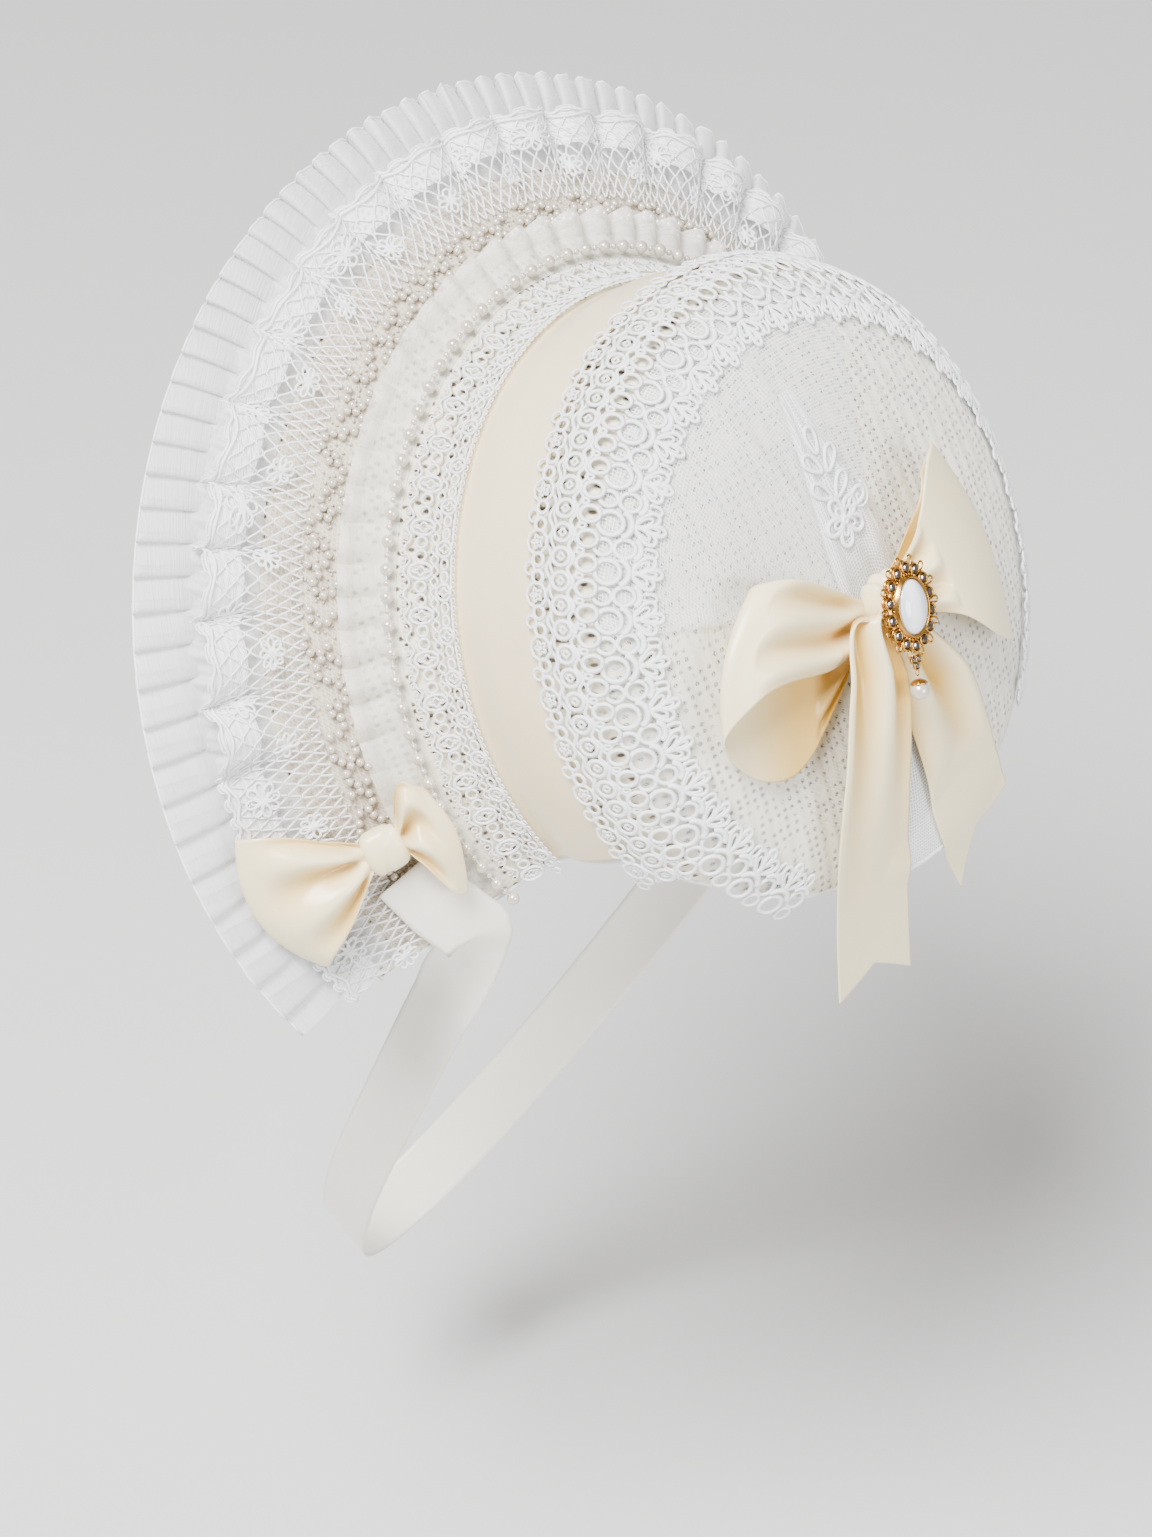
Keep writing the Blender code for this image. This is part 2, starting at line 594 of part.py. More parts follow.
# A side bow on the brim's corner, in millimetres: along the run from the knot, round the brim
# downwards, and lift, for one edge and then the other.
SIDE_BOW_RUN, SIDE_BOW_ANGLE = 0.2235, 98.0
OUTER_LOOP = [
    (5.4, -4.0, 11.5, 5.4, 4.0, 11.5),
    (20.0, -17.0, 17.0, 18.0, 13.0, 17.0),
    (33.0, -22.0, 15.0, 30.0, 20.0, 15.0),
    (37.0, -22.0, 11.0, 33.0, 23.0, 10.5),
    (31.0, -19.0, 7.6, 29.0, 20.0, 7.6),
    (16.0, -11.0, 7.0, 16.0, 11.0, 7.0),
    (5.4, -4.0, 7.2, 5.4, 4.0, 7.2),
]
INNER_LOOP = [
    (-5.4, -4.0, 11.5, -5.4, 4.0, 11.5),
    (-12.0, -20.0, 18.0, -9.0, 12.0, 17.0),
    (-20.0, -18.0, 17.0, -12.0, 28.0, 14.0),
    (-22.0, -14.0, 12.0, -15.0, 30.0, 10.5),
    (-17.0, -8.0, 7.5, -12.0, 22.0, 7.1),
    (-5.4, -4.0, 6.7, -5.4, 4.0, 6.7),
]
SIDE_KNOT_LIFT = 0.0110
SIDE_KNOT_SIZE = (0.0125, 0.0150, 0.0092)


def side_bow_place(grid, sign):
    """From the bow's own sheet of run, round and lift to the shell on the wearer's left or right."""
    run = SIDE_BOW_RUN + grid[..., 0]
    radius = smooth(RUNS, RINGS[:, 1], np.array([SIDE_BOW_RUN]))[0]
    angle = SIDE_BOW_ANGLE + np.degrees(grid[..., 1] / radius)
    return shell(run, sign * angle, grid[..., 2])


def build_side_bow(side_name, sign):
    for part_name, table in (("outer_loop", OUTER_LOOP), ("inner_loop", INNER_LOOP)):
        grid = ribbon_grid(np.array(table) * 0.001, 10, 2)
        placed = side_bow_place(grid, sign)
        if sign < 0:
            placed = placed[:, ::-1]
        sheet("side_bow_%s_%s" % (side_name, part_name), placed, FINE_CLOTH, "cream_satin")
    corners = np.array([(0.0, 0.0, 0.0), (0.001, 0.0, 0.0), (0.0, 0.001, 0.0), (0.0, 0.0, 0.001)])
    centre, along, around, out = side_bow_place(corners + (0.0, 0.0, SIDE_KNOT_LIFT), sign)
    frame = [(spot - centre) / np.linalg.norm(spot - centre) for spot in (along, around, out)]
    soft_block("side_bow_%s_knot" % side_name, centre, frame, SIDE_KNOT_SIZE, 1, "cream_satin")


# The chin ribbon hangs as a chain does between the brim's corners, a little to the wearer's left.
CHIN_WIDTH = 0.025
CHIN_LOW = (0.030, -0.112, -0.480)
CHIN_SAG_LENGTH = 0.0455        # the catenary's parameter for this span and drop
CHIN_SEWN_RUNS = (0.2215, 0.2200, 0.2185)
CHIN_SEWN_ANGLES = (104.0, 112.0, 120.0)
CHIN_SEWN_LENGTH = 0.040        # how far the ribbon keeps to the brim's face
CHIN_TURN_LENGTH = 0.050        # over which it turns from there to hang freely
CHIN_FACE = (0.0, 0.83, -0.56)  # the way that the hanging ribbon's face looks, across its route
CHIN_LIFT = 0.0052
CHIN_SAMPLES = 52


def build_chin_ribbon():
    """One ribbon from corner to corner: sewn on at both ends and hanging in a loop between them."""
    sewn = shell(CHIN_SEWN_RUNS, CHIN_SEWN_ANGLES, CHIN_LIFT)
    outward = shell(CHIN_SEWN_RUNS, CHIN_SEWN_ANGLES, CHIN_LIFT + 0.001) - sewn
    corner = sewn[-1]
    span = np.linspace(corner[0], -corner[0], 200)
    hang = CHIN_SAG_LENGTH * (np.cosh(span / CHIN_SAG_LENGTH) - 1.0)
    grown = hang / hang[0]
    low_side, low_forward, low_height = CHIN_LOW
    loop = np.column_stack([
        span + low_side * (1.0 - (span / corner[0]) ** 2),
        low_forward + (corner[1] - low_forward) * grown,
        low_height + (corner[2] - low_height) * grown,
    ])
    mirrored = np.array([-1.0, 1.0, 1.0])
    route = np.vstack([sewn[:-1], loop, sewn[-2::-1] * mirrored])
    length = np.concatenate([[0.0], np.cumsum(np.linalg.norm(np.diff(route, axis=0), axis=1))])
    at = np.linspace(0.0, length[-1], CHIN_SAMPLES)
    middle = np.column_stack([np.interp(at, length, route[:, i]) for i in range(3)])
    along = np.gradient(middle, axis=0)
    along /= np.linalg.norm(along, axis=1, keepdims=True)
    hanging_face = np.cross(along, CHIN_FACE)
    hanging_face /= np.linalg.norm(hanging_face, axis=1, keepdims=True)
    sewn_face = outward[1] / np.linalg.norm(outward[1])
    near = np.clip((at - CHIN_SEWN_LENGTH) / CHIN_TURN_LENGTH, 0.0, 1.0)[:, None]
    far = np.clip((length[-1] - CHIN_SEWN_LENGTH - at) / CHIN_TURN_LENGTH, 0.0, 1.0)[:, None]
    face = (near + far - 1.0) * hanging_face + (1.0 - near) * sewn_face + (1.0 - far) * sewn_face * mirrored
    across = np.cross(face, along)
    across *= CHIN_WIDTH / 2.0 / np.linalg.norm(across, axis=1, keepdims=True)
    sheet("chin_ribbon", np.stack([middle - across, middle + across], 1), FINE_CLOTH, "white_satin")


clear_scene()
PARTS = bpy.data.collections.new(OBJECT_NAME)
bpy.context.scene.collection.children.link(PARTS)
build_crown()
build_brim()
build_satin_band()
for lace in LACES:
    build_lace(lace)
build_pearl_string()
build_bead_net()
build_frills()
build_pleated_ruffle()
build_tulle_overlay()
for folds in TULLE_FOLDS:
    build_tulle_folds(folds)
build_back_bow()
build_brooch()
build_side_bow("left", 1)
build_side_bow("right", -1)
build_chin_ribbon()
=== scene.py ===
"""Half bonnet in satin, lace, tulle and organza, dressed on its fixed frame.

Metres, +Z up. The wearer faces -Y and +X is the wearer's left. Most pieces lie on one curved surface,
the shell. A place on it has three numbers: the run, measured along the surface from the middle of the
crown's back; the angle round the head, 0 at the top and positive on the wearer's left; and the lift
above the crown's outer face.
"""

import math

import bmesh
import bpy
import numpy as np
from mathutils import Matrix


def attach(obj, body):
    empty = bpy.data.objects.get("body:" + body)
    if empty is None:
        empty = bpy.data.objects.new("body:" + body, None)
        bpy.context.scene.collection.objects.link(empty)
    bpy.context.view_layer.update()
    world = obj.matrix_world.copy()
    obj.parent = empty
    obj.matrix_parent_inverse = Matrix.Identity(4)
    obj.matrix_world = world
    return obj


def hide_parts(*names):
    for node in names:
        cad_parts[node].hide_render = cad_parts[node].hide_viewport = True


bl_info = {
    "name": "Half bonnet",
    "version": (1, 0, 0),
    "blender": (4, 5, 0),
    "location": "View3D > Sidebar > Bonnet",
    "description": "Dresses the half bonnet's frame in satin, lace, tulle, organza, pearls and a brooch",
    "category": "Object",
}

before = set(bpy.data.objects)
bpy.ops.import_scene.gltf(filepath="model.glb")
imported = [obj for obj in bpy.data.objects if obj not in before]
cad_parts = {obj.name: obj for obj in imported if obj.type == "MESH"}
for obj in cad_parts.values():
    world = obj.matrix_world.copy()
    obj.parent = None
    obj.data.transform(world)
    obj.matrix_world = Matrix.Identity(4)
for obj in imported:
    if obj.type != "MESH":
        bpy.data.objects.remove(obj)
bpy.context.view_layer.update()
BODY = "root"

# The shell, as the frame has it: the head's axis, and rings of depth ahead of the back, radius over
# the top, sideways share of that radius and end angle in degrees.
HEAD_TILT = math.radians(26.5)
AXIS = np.array([0.0, math.cos(HEAD_TILT), math.sin(HEAD_TILT)])
RISE = np.array([0.0, -math.sin(HEAD_TILT), math.cos(HEAD_TILT)])
SIDE = np.array([1.0, 0.0, 0.0])
SHELL = np.array([
    (0.0000, 0.0000, 0.93, 180.0),
    (0.0022, 0.0540, 0.93, 180.0),
    (0.0060, 0.0780, 0.93, 180.0),
    (0.0120, 0.0950, 0.93, 152.0),
    (0.0240, 0.1075, 0.93, 124.0),
    (0.0435, 0.1130, 0.93, 112.0),
    (0.0660, 0.1115, 0.93, 115.0),
    (0.0885, 0.1075, 0.93, 118.0),
    (0.1075, 0.1190, 0.95, 119.0),
    (0.1310, 0.1480, 0.99, 117.0),
    (0.1550, 0.1770, 1.03, 115.0),
])
RINGS = np.vstack([SHELL[1] * (1.0, -1.0, 1.0, 1.0), SHELL])
RING_STEPS = np.hypot(np.diff(RINGS[:, 0]), np.diff(RINGS[:, 1]))
RUNS = np.concatenate([[0.0], np.cumsum(RING_STEPS)]) - RING_STEPS[0]
BACK_POLE = 0.0435 * AXIS - 0.1110 * RISE

# Where each piece starts and ends along the run, and the lifts of the layers, in metres.
CROWN_END = 0.1790
BRIM_START, BRIM_END = 0.1796, 0.2500
NECK_START = 0.0780
BAND_START, BAND_END = 0.1340, 0.1810
OVERLAY_EDGE_RUN, OVERLAY_END = 0.1040, 0.1120
CROWN_LACE_RUN, FRONT_LACE_RUN = 0.1235, 0.1865
PEARL_RUN = 0.2010
ORGANZA_START, ORGANZA_FOLD, ORGANZA_END = 0.1985, 0.2045, 0.2175
NET_START, NET_RUN, NET_END = 0.2120, 0.2200, 0.2390
LACE_FRILL_RUN = 0.2430
GATHERS_START, GATHERS_END = 0.2400, 0.2640
RUFFLE_START, RUFFLE_SEAM, RUFFLE_FREE, RUFFLE_END = 0.2440, 0.2520, 0.2700, 0.2765
FIRST_LAYER, SECOND_LAYER = 0.0006, 0.0021
EDGE_MARGIN = 1.0        # degrees that a piece stays back from the shell's open edges


def srgb_to_linear(hex_code):
    """Linear RGB of an sRGB hex colour."""
    channels = [int(hex_code[i:i + 2], 16) / 255.0 for i in (0, 2, 4)]
    return tuple(c / 12.92 if c <= 0.04045 else ((c + 0.055) / 1.055) ** 2.4 for c in channels)


def colour_property(name, hex_code, description):
    """A colour that a user may change, from its sRGB hex value."""
    return bpy.props.FloatVectorProperty(name=name, description=description, subtype="COLOR", size=3,
                                         min=0.0, max=1.0, default=srgb_to_linear(hex_code))


def length_property(name, default, description):
    """A small length in metres that a user may change."""
    return bpy.props.FloatProperty(name=name, description=description, default=default, min=0.0,
                                   unit="LENGTH", precision=5)


class BonnetSizes(bpy.types.PropertyGroup):
    """Sizes of the fabrics and trimmings that lie on the frame."""
    satin_thickness: length_property("Satin", 0.0004, "Thickness of the satin ribbons and band")
    knit_thickness: length_property("Knit", 0.0018, "Thickness of the crown and brim with their stiffening")
    pearl_radius: length_property("Pearl radius", 0.0022, "Radius of the pearls on the string")
    pearl_spacing: length_property("Pearl spacing", 0.0087, "Distance between pearls along the string")


class BonnetColours(bpy.types.PropertyGroup):
    """Colours of the fabrics and trimmings."""
    cream_satin: colour_property("Cream satin", "F6E8BE", "Bows")
    # Painted shade: the next colour is painted, deeper and warmer, inside the bows' folds.
    satin_fold: colour_property("Satin fold", "DBAD48", "Inside the bows' folds")
    band_satin: colour_property("Band satin", "EFDCB6", "Band round the crown's front")
    white_satin: colour_property("White satin", "F5EFE2", "Chin ribbon")
    crown_knit: colour_property("Crown knit", "F0E9D2", "Crown and brim ground")
    eyelet: colour_property("Eyelet", "54473A", "Dark of the knit's eyelets")
    organza: colour_property("Organza strip", "F3F1EA", "Plain strip beside the pearls")
    lace: colour_property("Lace", "F7F8FA", "Cotton lace and embroidery thread")
    sheer: colour_property("Sheer", "F4F6FA", "Tulle")
    ruffle: colour_property("Ruffle", "E6E6E9", "Organza of the pleated ruffle and its gathered strip")
    beige_net: colour_property("Beige net", "D9CDBB", "Net under the beads")
    pearl: colour_property("Pearl", "D3CABD", "Pearl coating")
    gold: colour_property("Gold", "CC9A4C", "Gold plate of the brooch")
    # The cabochon's two colours paint its cat's-eye band: a painted highlight along the stone, and the
    # greyer glass beside it.
    cabochon: colour_property("Cabochon", "F4F5FA", "White cat's-eye stone")
    cabochon_side: colour_property("Cabochon side", "CDD1DC", "Greyer sides of the cat's eye")
    # The stones' colour, which the cut glass paints lighter and darker by facet as painted glints and
    # reflections.
    rhinestone: colour_property("Rhinestone", "6A6058", "Cut stones")
    floor: colour_property("Floor", "D8D7D6", "Plain pale floor")


class BonnetStage(bpy.types.PropertyGroup):
    """Camera and light."""
    azimuth: bpy.props.FloatProperty(name="Azimuth", description="Camera's turn round the bonnet",
                                     default=math.radians(130.0), subtype="ANGLE")
    pitch: bpy.props.FloatProperty(name="Pitch", description="How far the camera looks down",
                                   default=math.radians(40.4), subtype="ANGLE")
    lens: bpy.props.FloatProperty(name="Lens", description="Focal length in millimetres on a 36 mm sensor",
                                  default=89.85, min=10.0)
    place: bpy.props.FloatVectorProperty(name="Place", description="Where the camera stands", size=3,
                                         default=(0.8142, 0.6470, 0.6847), subtype="TRANSLATION")
    floor_height: bpy.props.FloatProperty(name="Floor", description="Height of the floor", default=-0.60,
                                          unit="LENGTH")
    fill_light: bpy.props.FloatProperty(name="Fill", description="Strength of the light from all round",
                                        default=0.40, min=0.0)
    key_light: bpy.props.FloatProperty(name="Key", description="Power of the window light in watts",
                                       default=250.0, min=0.0)


def sizes():
    """The sizes set in the sidebar."""
    return bpy.context.scene.bonnet_sizes


def colours():
    """The colours set in the sidebar."""
    return bpy.context.scene.bonnet_colours


# The shell and the ribbons' curves.

def smooth(knots, values, at):
    """Cubic curve through a table, whose slope at each knot is that of the knots around it."""
    slopes = np.gradient(values, knots, axis=0)
    low = np.clip(np.searchsorted(knots, at, side="right") - 1, 0, len(knots) - 2)
    width = knots[low + 1] - knots[low]
    t = (at - knots[low]) / width
    if np.ndim(values) > 1:
        t = t[..., None]
        width = width[..., None]
    rising = t * t * (3.0 - 2.0 * t)
    leave = t * (1.0 - t) ** 2 * slopes[low] * width
    arrive = t * t * (t - 1.0) * slopes[low + 1] * width
    return values[low] * (1.0 - rising) + values[low + 1] * rising + leave + arrive


def end_angle(run):
    """Angle of the shell's open edge at a run, straight between the rings."""
    return np.interp(run, RUNS, RINGS[:, 3])


def shell(run, angle, lift=0.0):
    """Point of the shell: its ring's ellipse at that angle, moved out along the surface's normal."""
    run, angle, lift = np.broadcast_arrays(np.asarray(run, float), np.radians(angle), lift)
    across, down = np.cos(angle)[..., None], np.sin(angle)[..., None]

    def on_ring(at):
        """Point of the ring at that run, before its lift, and the ring's sideways share."""
        depth, radius, share = (smooth(RUNS, RINGS[:, i], at)[..., None] for i in range(3))
        return -depth * AXIS + radius * (across * RISE + share * down * SIDE), share

    place, share = on_ring(run)
    along = on_ring(run + 1e-5)[0] - place
    around = -down * RISE + share * across * SIDE
    normal = np.cross(along, around)
    normal /= np.linalg.norm(normal, axis=-1, keepdims=True)
    return BACK_POLE + place + lift[..., None] * normal


def ring_radius(run):
    """Rough radius round the head at a run, to turn lengths along the ring into angles."""
    return smooth(RUNS, RINGS[:, 1], np.asarray(run, float))


def bow_place(side, rise, out):
    """Point near the crown's back, in the upright frame whose origin is the back pole."""
    return BACK_POLE + np.multiply.outer(side, SIDE) + np.multiply.outer(rise, RISE) + \
        np.multiply.outer(out, AXIS)


def crown_out(side, rise):
    """How far out the crown's back lies at that point of the upright frame.

    It is the depth of the ring whose radius is the point's distance from the pole, with the distance
    to the side divided by the back rings' sideways share.
    """
    run = np.linspace(0.0, BAND_START, 200)
    depth, radius, share = (smooth(RUNS, RINGS[:, i], run) for i in range(3))
    return -np.interp(np.hypot(side / share[0], rise), radius, depth)


def step_up(value, low, high):
    """0 below low, 1 above high, with a smooth rise between them."""
    t = np.clip((value - low) / (high - low), 0.0, 1.0)
    return t * t * (3.0 - 2.0 * t)


# Meshes.

def grid_faces(rows, columns, close_rows=False, close_columns=False):
    """Quads of a grid of points, numbered row by row."""
    index = np.arange(rows * columns).reshape(rows, columns)
    if close_rows:
        index = np.vstack([index, index[:1]])
    if close_columns:
        index = np.hstack([index, index[:, :1]])
    return np.stack([index[:-1, :-1], index[1:, :-1], index[1:, 1:], index[:-1, 1:]], -1).reshape(-1, 4)


def grid_lengths(grid):
    """Distances along the columns and along the rows of a grid, for a UV map in metres."""
    along_columns = np.linalg.norm(np.diff(grid, axis=1), axis=-1)
    along_rows = np.linalg.norm(np.diff(grid, axis=0), axis=-1)
    middle = grid.shape[1] // 2
    u = np.pad(np.cumsum(along_columns, axis=1), ((0, 0), (1, 0)))
    v = np.pad(np.cumsum(along_rows, axis=0), ((1, 0), (0, 0)))
    return np.stack([u - u[:, middle:middle + 1], v], -1)


def new_mesh(name, points, faces, uv=None):
    """Mesh from whole arrays: points (n, 3), faces (m, corners) and a UV place for each point."""
    mesh = bpy.data.meshes.new(name)
    corners = np.ascontiguousarray(faces, dtype=np.int32).ravel()
    mesh.vertices.add(len(points))
    mesh.vertices.foreach_set("co", np.asarray(points, dtype=np.float32).ravel())
    mesh.loops.add(len(corners))
    mesh.loops.foreach_set("vertex_index", corners)
    mesh.polygons.add(len(faces))
    mesh.polygons.foreach_set("loop_start", np.arange(0, len(corners), faces.shape[1], dtype=np.int32))
    if uv is not None:
        layer = mesh.uv_layers.new(name="UVMap")
        layer.data.foreach_set("uv", np.asarray(uv, dtype=np.float32)[corners].ravel())
    mesh.update(calc_edges=True)
    mesh.validate()
    mesh.shade_smooth()
    return mesh


def merge_doubles(mesh, distance=0.00002):
    """Join points that lie closer than the distance, as at a pole or a closed seam."""
    edit = bmesh.new()
    edit.from_mesh(mesh)
    bmesh.ops.remove_doubles(edit, verts=edit.verts, dist=distance)
    edit.to_mesh(mesh)
    edit.free()


def add_piece(name, mesh, material, slot, *nodes):
    """Link a finished mesh as a piece of the bonnet that stands for the given frame nodes."""
    made = bpy.data.objects.new(name, mesh)
    bpy.context.scene.collection.objects.link(made)
    mesh.materials.append(material)
    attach(made, BODY)
    if nodes:
        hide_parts(*nodes)
    return made


def surface_piece(name, grid, material, slot, *nodes, thickness=0.0, offset=1.0, merged=False):
    """A sheet through a grid of points, with its UV map in metres.

    A thickness grows outwards for an offset of 1 and inwards for -1.
    """
    rows, columns = grid.shape[:2]
    mesh = new_mesh(name, grid.reshape(-1, 3), grid_faces(rows, columns), grid_lengths(grid).reshape(-1, 2))
    if merged:
        merge_doubles(mesh)
    piece = add_piece(name, mesh, material, slot, *nodes)
    if thickness:
        wall = piece.modifiers.new("wall", "SOLIDIFY")
        wall.thickness = thickness
        wall.offset = offset
        wall.use_even_offset = False
    return piece


def flat_size(grid):
    """Mean length of a grid's rows and of its columns: the width and length of its cut."""
    wide = np.linalg.norm(np.diff(grid, axis=1), axis=-1).sum(axis=1).mean()
    long = np.linalg.norm(np.diff(grid, axis=0), axis=-1).sum(axis=0).mean()
    return float(wide), float(long)


def ball(rows=6, columns=10):
    """Points and quads of a unit sphere: rings of latitude, closed round, with small pole rings."""
    latitude = np.linspace(-math.pi / 2.0, math.pi / 2.0, rows + 1)[:, None]
    longitude = np.linspace(0.0, 2.0 * math.pi, columns, endpoint=False)[None, :]
    points = np.stack([np.cos(latitude) * np.cos(longitude), np.cos(latitude) * np.sin(longitude),
                       np.sin(latitude) + 0.0 * longitude], -1)
    faces = grid_faces(rows + 1, columns, close_columns=True)[:, ::-1]
    return points.reshape(-1, 3), faces


def scatter(base, centres, radius):
    """Copies of a base (points, faces), scaled by the radius, at each centre."""
    points, faces = base
    placed = points[None, :, :] * radius + np.asarray(centres)[:, None, :]
    moved = faces[None, :, :] + (np.arange(len(centres)) * len(points))[:, None, None]
    return placed.reshape(-1, 3), moved.reshape(-1, faces.shape[1])


def shell_grid(runs, columns, lift, margin=0.0):
    """Rows of shell points at the given runs, with the columns spread between the end angles.

    The lift is a length, or a function of run and angle that gives it.
    """
    share = np.linspace(-1.0, 1.0, columns + 1)
    run = np.asarray(runs)[:, None]
    angle = share[None, :] * (end_angle(run) - margin)
    return shell(run, angle, lift(run, angle) if callable(lift) else lift)


def ribbon_grid(table, samples, across, notch=0.0):
    """Ribbon between two edges: smooth curves through the table's rows, straight across."""
    table = np.asarray(table) * 0.001
    middle = (table[:, :3] + table[:, 3:]) / 2.0
    knots = np.concatenate([[0.0], np.cumsum(np.linalg.norm(np.diff(middle, axis=0), axis=1))])
    share = np.linspace(0.0, 1.0, across + 1)[None, :]
    length = knots[-1] - notch * (1.0 - np.abs(2.0 * share - 1.0))
    at = np.linspace(0.0, 1.0, samples + 1)[:, None] * length
    edges = smooth(knots, table, at)
    return edges[..., :3] * (1.0 - share[..., None]) + edges[..., 3:] * share[..., None]


# Threads: lace, embroidery and hems are drawn flat in millimetres and laid on a surface.

def ring(half_wide, half_tall=None, points=16, waves=0, depth=0.0):
    """Closed oval whose radius may wave by a share of itself."""
    turn = np.linspace(0.0, 2.0 * math.pi, points, endpoint=False)
    grown = 1.0 + depth * np.cos(waves * turn)
    half_tall = half_wide if half_tall is None else half_tall
    return np.stack([half_wide * grown * np.sin(turn), half_tall * grown * np.cos(turn)], -1)


def arc(radius, start, end, points=12):
    """Stretch of a circle between two angles in degrees, 0 straight up and positive to the right."""
    turn = np.radians(np.linspace(start, end, points))
    return radius * np.stack([np.sin(turn), np.cos(turn)], -1)


def leaf(length, width, points=18):
    """Closed leaf outline from its foot at the origin: widest past its middle, pointed at both ends."""
    turn = np.linspace(0.0, 2.0 * math.pi, points, endpoint=False)
    along = 0.5 - 0.5 * np.cos(turn)
    return np.stack([0.5 * width * np.sin(turn) * (0.55 + 0.6 * along), length * along], -1)


def turned(shape, degrees):
    """A flat shape turned clockwise about the origin."""
    turn = math.radians(degrees)
    across = shape[..., :1] * math.cos(turn) + shape[..., 1:] * math.sin(turn)
    return np.concatenate([across, shape[..., 1:] * math.cos(turn) - shape[..., :1] * math.sin(turn)], -1)


def spread(shape, x, y):
    """Copies (n, points, 2) of a flat shape at n places."""
    places = np.stack(np.broadcast_arrays(np.asarray(x, float), np.asarray(y, float)), -1).reshape(-1, 1, 2)
    return shape[None] + places


def cords(lines, outward, half_width, half_height, closed, sides=4):
    """Flattened cords along lines (n, points, 3): an ellipse across the line at each of its points."""
    if closed:
        tangent = np.roll(lines, -1, axis=1) - np.roll(lines, 1, axis=1)
    else:
        tangent = np.gradient(lines, axis=1)
    across = np.cross(tangent, outward)
    across /= np.maximum(np.linalg.norm(across, axis=-1, keepdims=True), 1e-12)
    turn = np.linspace(0.0, 2.0 * math.pi, sides, endpoint=False)
    points = lines[:, :, None] + half_width * np.cos(turn)[:, None] * across[:, :, None] \
        + half_height * np.sin(turn)[:, None] * outward[:, :, None]
    count, long = lines.shape[:2]
    faces = grid_faces(long, sides, close_rows=closed, close_columns=True)
    if not closed:
        last = (long - 1) * sides
        caps = [(0, 2 * i + 1, 2 * i + 2, 2 * i + 3) for i in range(sides // 2 - 1)]
        caps += [(last, last + 2 * i + 3, last + 2 * i + 2, last + 2 * i + 1) for i in range(sides // 2 - 1)]
        faces = np.vstack([faces, caps])
    faces = faces[None] + (np.arange(count) * long * sides)[:, None, None]
    return points.reshape(-1, 3), faces.reshape(-1, 4)


def cord_piece(name, lines, outward, half_width, half_height, material, slot, sides=4):
    """Open cords along lines as one piece."""
    points, faces = cords(lines, outward, half_width, half_height, False, sides)
    return add_piece(name, new_mesh(name, points, faces, points[:, [0, 2]]), material, slot)


def outward_at(place, x, y, lift):
    """A flat pattern's points on the surface, with the way out of it there, from small steps."""
    step = 0.05
    spot = place(x, y, lift)
    out = np.cross(place(x, y + step, lift) - spot, place(x + step, y, lift) - spot)
    return spot, out / np.maximum(np.linalg.norm(out, axis=-1, keepdims=True), 1e-12)


def stitched(name, strokes, place, material, slot, *nodes):
    """One piece of thread work: each stroke is (lines, half width, half height, lift, closed) in mm."""
    points, faces, total = [], [], 0
    for lines, half_width, half_height, lift, closed in strokes:
        spots, out = outward_at(place, lines[..., 0], lines[..., 1], lift + half_height)
        made, joined = cords(spots, out, half_width * 0.001, half_height * 0.001, closed)
        points.append(made)
        faces.append(joined + total)
        total += len(made)
    points = np.vstack(points)
    mesh = new_mesh(name, points, np.vstack(faces), points[:, [0, 2]])
    return add_piece(name, mesh, material, slot, *nodes)


def declare_lace(piece, width, length, held, *rests_on):
    """Read the area of each of the lace's faces, and do nothing more with them; the width and length are not
    used. Declare a lace that is thread alone: its flat area is half its threads' surface, at most w x l.
    """
    mesh = piece.data
    areas = np.empty(len(mesh.polygons))
    mesh.polygons.foreach_get("area", areas)


def on_shell(middle_run):
    """Lay x round the head and y along the run, both in millimetres; x keeps its length at one run."""
    radius = float(ring_radius(middle_run))

    def place(x, y, lift):
        """The angle is x over the radius, and the run is y."""
        return shell(y * 0.001, np.degrees(x * 0.001 / radius), lift * 0.001)
    return place


def arc_length(run, margin=EDGE_MARGIN):
    """Half the length round the head at a run, in millimetres, by its radius over the top."""
    return math.radians(float(end_angle(run)) - margin) * float(ring_radius(run)) * 1000.0


def repeats(half_length, pitch):
    """Evenly spread places along a braid, about one pitch apart, and their true pitch."""
    count = int(round(2.0 * half_length / pitch))
    true_pitch = 2.0 * half_length / count
    return (np.arange(count) + 0.5) * true_pitch - half_length, true_pitch


# Materials.

# Real sizes of the patterns in metres.
WAVE_PERIOD = math.pi / 10.0     # distance between a wave texture's bands at scale 1
SATIN_CLOUD = 0.0167             # slow change of tone along a ribbon
WARP_SPACING = 0.000785          # real warp threads lie 0.1 mm apart, too fine to show
RIB_SPACING = 0.00593            # soft ribs of the knit
EYELET_SPACING = 0.00303         # from one small hole to the next
EYELET_PATCH = 0.0059            # patches of the knit that have holes
STITCH_SPACING = 0.000667        # real stitches lie 0.3 mm apart, too fine to show
ORGANZA_WEAVE = 0.0005           # real weave is 0.12 mm, too fine to show
ORGANZA_CRINKLE = 0.00385        # soft crinkles that catch the light
LACE_MESH = 0.0024               # ground between the lace's motifs
TULLE_MESH = 0.0012              # usual for bridal tulle
BEAD_NET_MESH = 0.0016
NACRE_CLOUD = 0.00455            # slow change of tone over the pearls
CAST_WAVE = 0.00111              # waves left by polishing
FACET_SIZE = 0.00091             # facets of a stone 3 mm across
PAPER_TOOTH = 0.0025             # real tooth is finer, too fine to show


